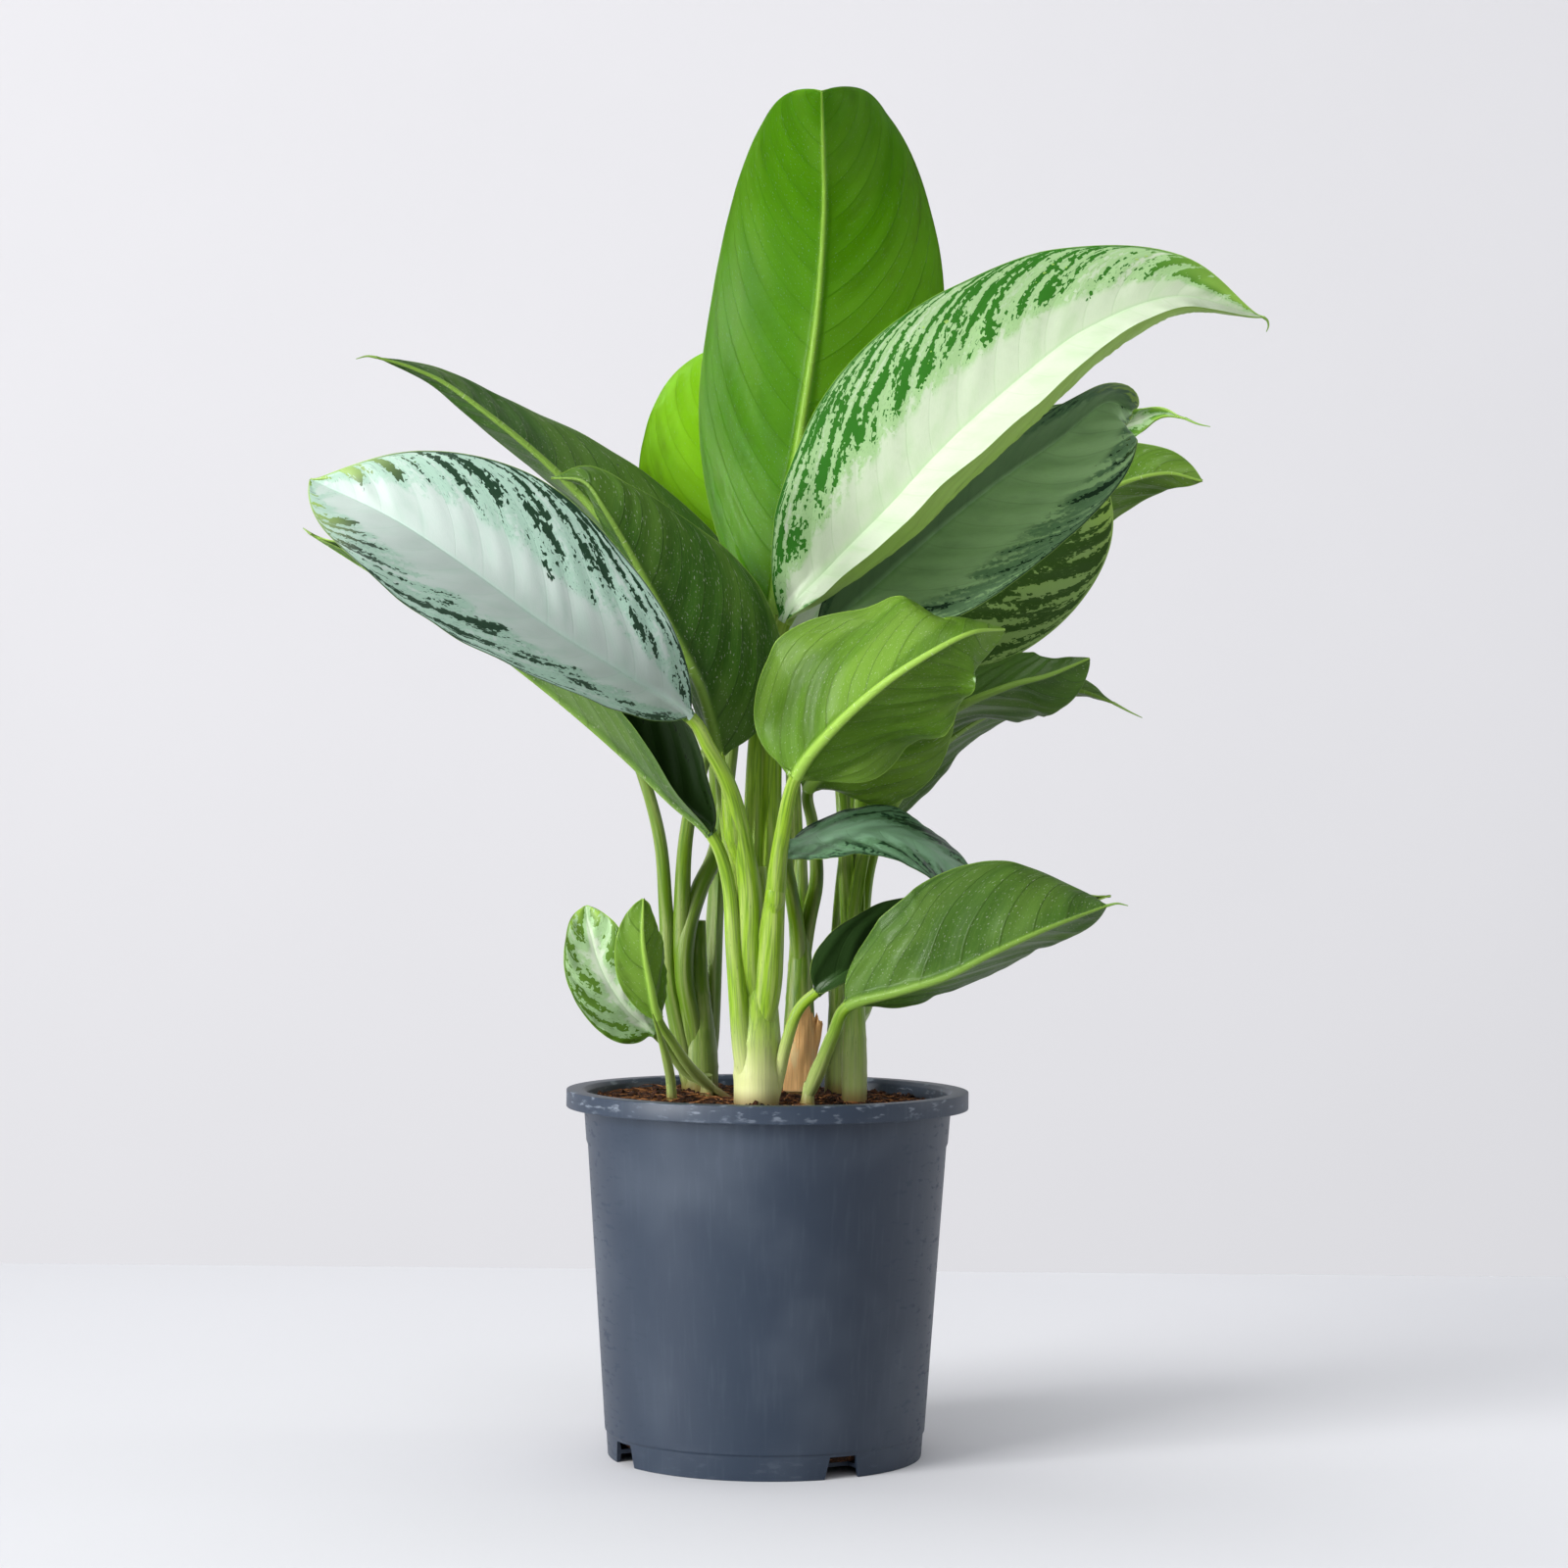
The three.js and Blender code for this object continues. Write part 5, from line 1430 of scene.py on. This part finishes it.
class Blade:
    """A blade: its middle surface, row by row, and how its two faces lie on it."""

    def __init__(self, form, settings, seed):
        self.form = form
        self.joint_radius = form["stem"][1]
        self.settings = settings
        self.seed = seed
        spread = [k / HALF_COLUMNS - 1 for k in range(2 * HALF_COLUMNS + 1)]
        self.columns = [math.copysign(abs(t) ** COLUMN_POWER, t) for t in spread]
        self.shares = [lerp(s, (1 - math.cos(math.pi * s)) / 2, END_PULL) for s in evenly(BLADE_ROWS)]
        points = form["stalk"] + form["rib"]
        joint = len(form["stalk"]) - 1
        self.path, self.length = stations(points, joint, len(points) - 1, self.shares)
        self.widths = [self.half_widths(s) for s in self.shares]
        self.rows = [self.row(i) for i in range(BLADE_ROWS + 1)]

    def half_widths(self, s):
        """The widths of the left and the right half at a share of the length."""
        least = lerp(self.joint_radius, TIP_HALF_WIDTH, min(1, s / STEM_SHARE))
        shape = self.form["shape"]
        widths = [self.form[side]["width"] * outline(shape, s, k) for k, side in enumerate(SIDES)]
        return [(width**4 + least**4) ** 0.25 for width in widths]

    def row(self, i):
        """The points of one row, from the left margin to the right one."""
        s = self.shares[i]
        point, growth = self.path[i]
        right, back = sides(growth, self.form.get("level", False))
        fullness = outline(self.form["shape"], s)
        height, waves, phase = self.form["wave"]
        made = []
        for t in self.columns:
            side = t > 0
            half = self.form[SIDES[side]]
            share = abs(t)
            curl = half.get("curl", 0)
            turn = math.radians(through(curl, s) if isinstance(curl, list) else curl) * share
            lean = math.radians(through(half["lean"], s)) + turn / 2
            reach = self.widths[i][side] * share * curled(turn)
            start = phase + (0 if side else 0.5)
            ripple = height * fullness * share**2 * math.sin(TURN * (waves * s + start))
            ripple += RAGGEDNESS * share**3 * noise.noise(Vector((s * 14, 3 * t, self.seed)))
            sign = math.copysign(1, t)
            outward = sign * math.cos(lean) * right - math.sin(lean) * back
            normal = outward.cross(growth) * sign
            made.append(point + reach * outward + ripple * normal)
        return made

    def lane(self, i, j):
        """Where on the midrib the side vein that runs through a point starts, in millimetres."""
        t = self.columns[j]
        share = abs(t)
        sweep = VEIN_SLANT * share + VEIN_SWEEP * (1 - math.sqrt(1 - share**2))
        return self.shares[i] * self.length - self.widths[i][t > 0] * sweep

    def phase(self, i, j):
        """How many side veins lie between a point and the joint."""
        side = 0.5 if self.columns[j] < 0 else 0
        lane = self.lane(i, j)
        unevenness = 0.4 * noise.noise(Vector((lane / 26, side, self.seed)))
        return lane * MM / self.settings.vein_gap + side + unevenness

    def lift(self, i, j):
        """How far the surface swells towards its upper face between the side veins."""
        t, s = self.columns[j], self.shares[i]
        share = abs(t)
        swell = math.sin(math.pi * self.phase(i, j)) ** 2 - 0.5
        swell *= hill(share, *SWELL_ACROSS) * hill(s, *SWELL_ALONG)
        unevenness = 0.7 + 0.8 * noise.noise(Vector((self.lane(i, j) / 20, 2 * t, self.seed)))
        sway = SWAY * noise.noise(Vector((s * 5, t * 2, self.seed))) * share
        return self.settings.quilting / MM * swell * unevenness + sway

    def ridge(self, i, j):
        """The height of the midrib over the lower face, as a share of its greatest, and that height."""
        t, s = self.columns[j], self.shares[i]
        radius = self.joint_radius * 0.95 * (1 - s) ** 0.8 + 0.25
        reach = radius * lerp(1, 1.2, smooth(s, 0, 0.1))
        aside = abs(t) * self.widths[i][t > 0] / reach
        share = max(0, 1 - aside**2) ** lerp(0.5, 1.2, smooth(s, 0, 0.15))
        return share, radius

    def depth(self, i, j, upper):
        """How far the upper or the lower face stands off the middle surface."""
        share, radius = self.ridge(i, j)
        rounding = math.sqrt(max(0, 1 - abs(self.columns[j]) ** EDGE_SQUARENESS))
        half = self.settings.thickness / MM / 2 * rounding
        if upper:
            over_joint = 1 - smooth(self.shares[i], 0, 0.14)
            return half + radius * share * over_joint + self.lift(i, j)
        return half + radius * share * 0.9 - self.lift(i, j)

    def mark(self, vert, layers, i, j):
        """Writes down at a vertex what the finishes need to know there."""
        t, s = self.columns[j], self.shares[i]
        share = abs(t)
        width = self.widths[i][t > 0]
        left, right, start = self.form["streaks"]
        spread = right if t > 0 else left
        cover = spread * smooth(share, start, start + 0.35) + 0.3 * spread * smooth(s, 0.8, 1)
        vert[layers[0]] = Vector((self.lane(i, j), width * t, self.seed * 37.3))
        vert[layers[1]] = Vector((share, s, self.phase(i, j)))
        vert[layers[2]] = Vector((cover, self.ridge(i, j)[0], (1 - share) * width))

    def shape(self):
        """A bmesh of the blade, with its tail if it has one."""
        bm = bmesh.new()
        layers = [bm.verts.layers.float_vector.new(layer) for layer in ("lie", "spread", "mark")]
        upper_near = self.form["faces"] == "top"
        sheet(
            bm,
            self.rows,
            lambda i, j: self.depth(i, j, upper_near),
            lambda i, j: self.depth(i, j, not upper_near),
            lambda vert, i, j: self.mark(vert, layers, i, j),
            (0, 1) if upper_near else (1, 0),
        )
        if "tail" in self.form:
            path, _ = even_stations(self.form["tail"], 10)
            tube(bm, path, lambda u, v: lerp(*TAIL, v), 8)
        return bm


class EVERGREEN_OT_blades(bpy.types.Operator):
    """Shape every blade, quilted between its side veins, and silver its upper face"""

    bl_idname = "evergreen.blades"
    bl_label = "Blades"

    def execute(self, context):
        settings = context.scene.evergreen_blades
        finishes = self.finishes(settings)
        for seed, (name, form) in enumerate(BLADES.items(), start=1):
            pair = [finishes["upper", form["silver"]], finishes["lower", form["green"]]]
            bm = Blade(form, settings, seed).shape()
            piece(f"blade_{name}", bm, pair, [f"leaf_{name}"], crease=70)
        return {"FINISHED"}

    def finishes(self, settings):
        """The finishes of the two faces, by the names that the table gives them."""
        silvers = {
            "cool": (settings.cool, settings.cool_soft, settings.streak),
            # Painted light: silver, middle tone and streaks tinted as if lit from behind.
            "warm": (settings.warm, settings.backlit_soft, settings.backlit_streak),
            # Painted shade: silver and middle tone darkened for blades in shade.
            "shaded": (settings.shaded, settings.shaded_soft, settings.streak),
            # Painted light: the sprout borrows the silver that is tinted as if lit from behind.
            "sprout": (settings.warm, settings.backlit_soft, settings.fresh),
            # Painted shade on the half beyond the midrib, by the shaded amount below.
            "turned": (settings.turned, settings.shaded_soft, settings.streak),
            # Painted shade: the upper face painted dark green where it lies in shade, with darker streaks.
            "dark": (settings.dark, settings.dark, scaled(settings.dark, 0.4)),
            # Painted shade: an upper face in shade painted olive, with light patches where its silver is.
            "mottled": (settings.olive, settings.olive, settings.mottling),
        }
        ribs = {"young": 0.5, "fresh": 0.6}
        passed = {"young": 0.55, "lit": 0.55}
        made = {}
        for look, colours in silvers.items():
            # Painted shade: only the turned silver darkens its half beyond the midrib.
            shaded = 0.7 if look == "turned" else 0
            made["upper", look] = upper_finish(f"{look} upper face", *colours, settings.rib, shaded)
        for look in ("young", "lit", "fresh", "olive", "deep", "grey"):
            green = getattr(settings, look)
            rib = between(green, settings.rib, ribs.get(look, 0.35))
            tint = [min(1, level) for level in scaled(green, 2.6)]
            made["lower", look] = lower_finish(f"{look} lower face", green, rib, passed.get(look, 0.15), tint)
        # Painted light: the pale lower face, painted bright as if light came through it.
        pale = lower_finish("pale lower face", settings.backlit_green, settings.rib, 0.4, PALE_GLOW)
        made["lower", "pale"] = pale
        return made


# Half the side of the floor and of the wall, and the point that the lights aim at, in metres
STAGE_REACH = 5
LIGHT_CENTRE = Vector((0, 0, 0.32))
DAYLIGHT_TINT = (0.93, 0.96, 1, 1)

# Each light's place and size in metres, and its spread in degrees
LIGHTS = {
    "key": ((-4.2, -3.9, 2.9), 2.8, 180),
    "side": ((-3.4, -1.95, 0.5), 1, 25),
    "front": ((-0.8, -4.2, 3.2), 3, 180),
    "fill": ((1.9, 0.35, 0.6), 0.5, 180),
    "overhead": ((-0.15, 0.25, 1.9), 0.9, 180),
}


class EVERGREEN_OT_studio(bpy.types.Operator):
    """Set up the floor, the wall, the lights and the camera"""

    bl_idname = "evergreen.studio"
    bl_label = "Studio"

    def execute(self, context):
        studio = context.scene.evergreen_studio
        upright = Matrix.Rotation(math.radians(90), 3, "X")
        self.build_plane("floor", studio.ground, Matrix(), studio.floor_depth - STAGE_REACH)
        self.build_plane("wall", studio.paint, upright, studio.wall_distance)
        for name in LIGHTS:
            self.hang_light(name, getattr(studio, name))
        self.light_room(studio)
        self.place_camera(studio)
        context.scene.view_settings.view_transform = "Standard"
        return {"FINISHED"}

    def build_plane(self, name, tint, turn, depth):
        """Adds the floor or the wall, with its middle at a depth behind the pot's middle."""
        bm = bmesh.new()
        bmesh.ops.create_grid(bm, x_segments=1, y_segments=1, size=STAGE_REACH)
        bmesh.ops.transform(bm, verts=bm.verts, matrix=Matrix.Translation((0, depth, 0)) @ turn.to_4x4())
        made = placed(name, bm)
        made.data.materials.append(matt_finish(f"{name} surface", tint))

    def hang_light(self, name, power):
        """Adds a soft light that aims at the plant."""
        place, size, spread = LIGHTS[name]
        light = bpy.data.lights.new(f"{name} light", "AREA")
        light.size = size
        light.spread = math.radians(spread)
        light.energy = power
        made = placed(f"{name} light", light)
        made.location = place
        made.rotation_euler = (LIGHT_CENTRE - Vector(place)).to_track_quat("-Z", "Y").to_euler()

    def light_room(self, studio):
        world = bpy.data.worlds.new("room")
        world.use_nodes = True
        background = world.node_tree.nodes["Background"]
        background.inputs["Color"].default_value = DAYLIGHT_TINT
        background.inputs["Strength"].default_value = studio.daylight
        bpy.context.scene.world = world

    def place_camera(self, studio):
        camera = bpy.data.cameras.new("camera")
        camera.lens = studio.lens
        made = placed("camera", camera)
        made.location = (studio.aside, -studio.distance, studio.eye_height)
        made.rotation_euler = (math.radians(90), studio.roll, 0)
        bpy.context.scene.camera = made


class EVERGREEN_PT_panel(bpy.types.Panel):
    """Lists the steps that build the plant, with the sizes and colours of each"""

    bl_label = "Evergreen"
    bl_idname = "EVERGREEN_PT_panel"
    bl_space_type = "VIEW_3D"
    bl_region_type = "UI"
    bl_category = "Evergreen"

    def draw(self, context):
        for operator in OPERATORS:
            self.layout.operator(operator.bl_idname)
        for name, group in SETTINGS.items():
            box = self.layout.box()
            box.label(text=group.__doc__)
            for prop in group.__annotations__:
                box.prop(getattr(context.scene, name), prop)


SETTINGS = {
    "evergreen_pot": PotSettings,
    "evergreen_soil": SoilSettings,
    "evergreen_shoots": ShootSettings,
    "evergreen_blades": BladeSettings,
    "evergreen_studio": StudioSettings,
}
OPERATORS = [
    EVERGREEN_OT_studio, EVERGREEN_OT_pot, EVERGREEN_OT_soil, EVERGREEN_OT_shoots,
    EVERGREEN_OT_dry_sheath, EVERGREEN_OT_blades,
]
CLASSES = [*SETTINGS.values(), *OPERATORS, EVERGREEN_PT_panel]


def register():
    for each in CLASSES:
        bpy.utils.register_class(each)
    for name, group in SETTINGS.items():
        setattr(bpy.types.Scene, name, PointerProperty(type=group))


def unregister():
    for name in SETTINGS:
        delattr(bpy.types.Scene, name)
    for each in reversed(CLASSES):
        bpy.utils.unregister_class(each)


def main():
    register()
    bpy.ops.evergreen.studio()
    bpy.ops.evergreen.pot()
    bpy.ops.evergreen.soil()
    bpy.ops.evergreen.shoots()
    bpy.ops.evergreen.dry_sheath()
    bpy.ops.evergreen.blades()


if __name__ == "__main__":
    main()
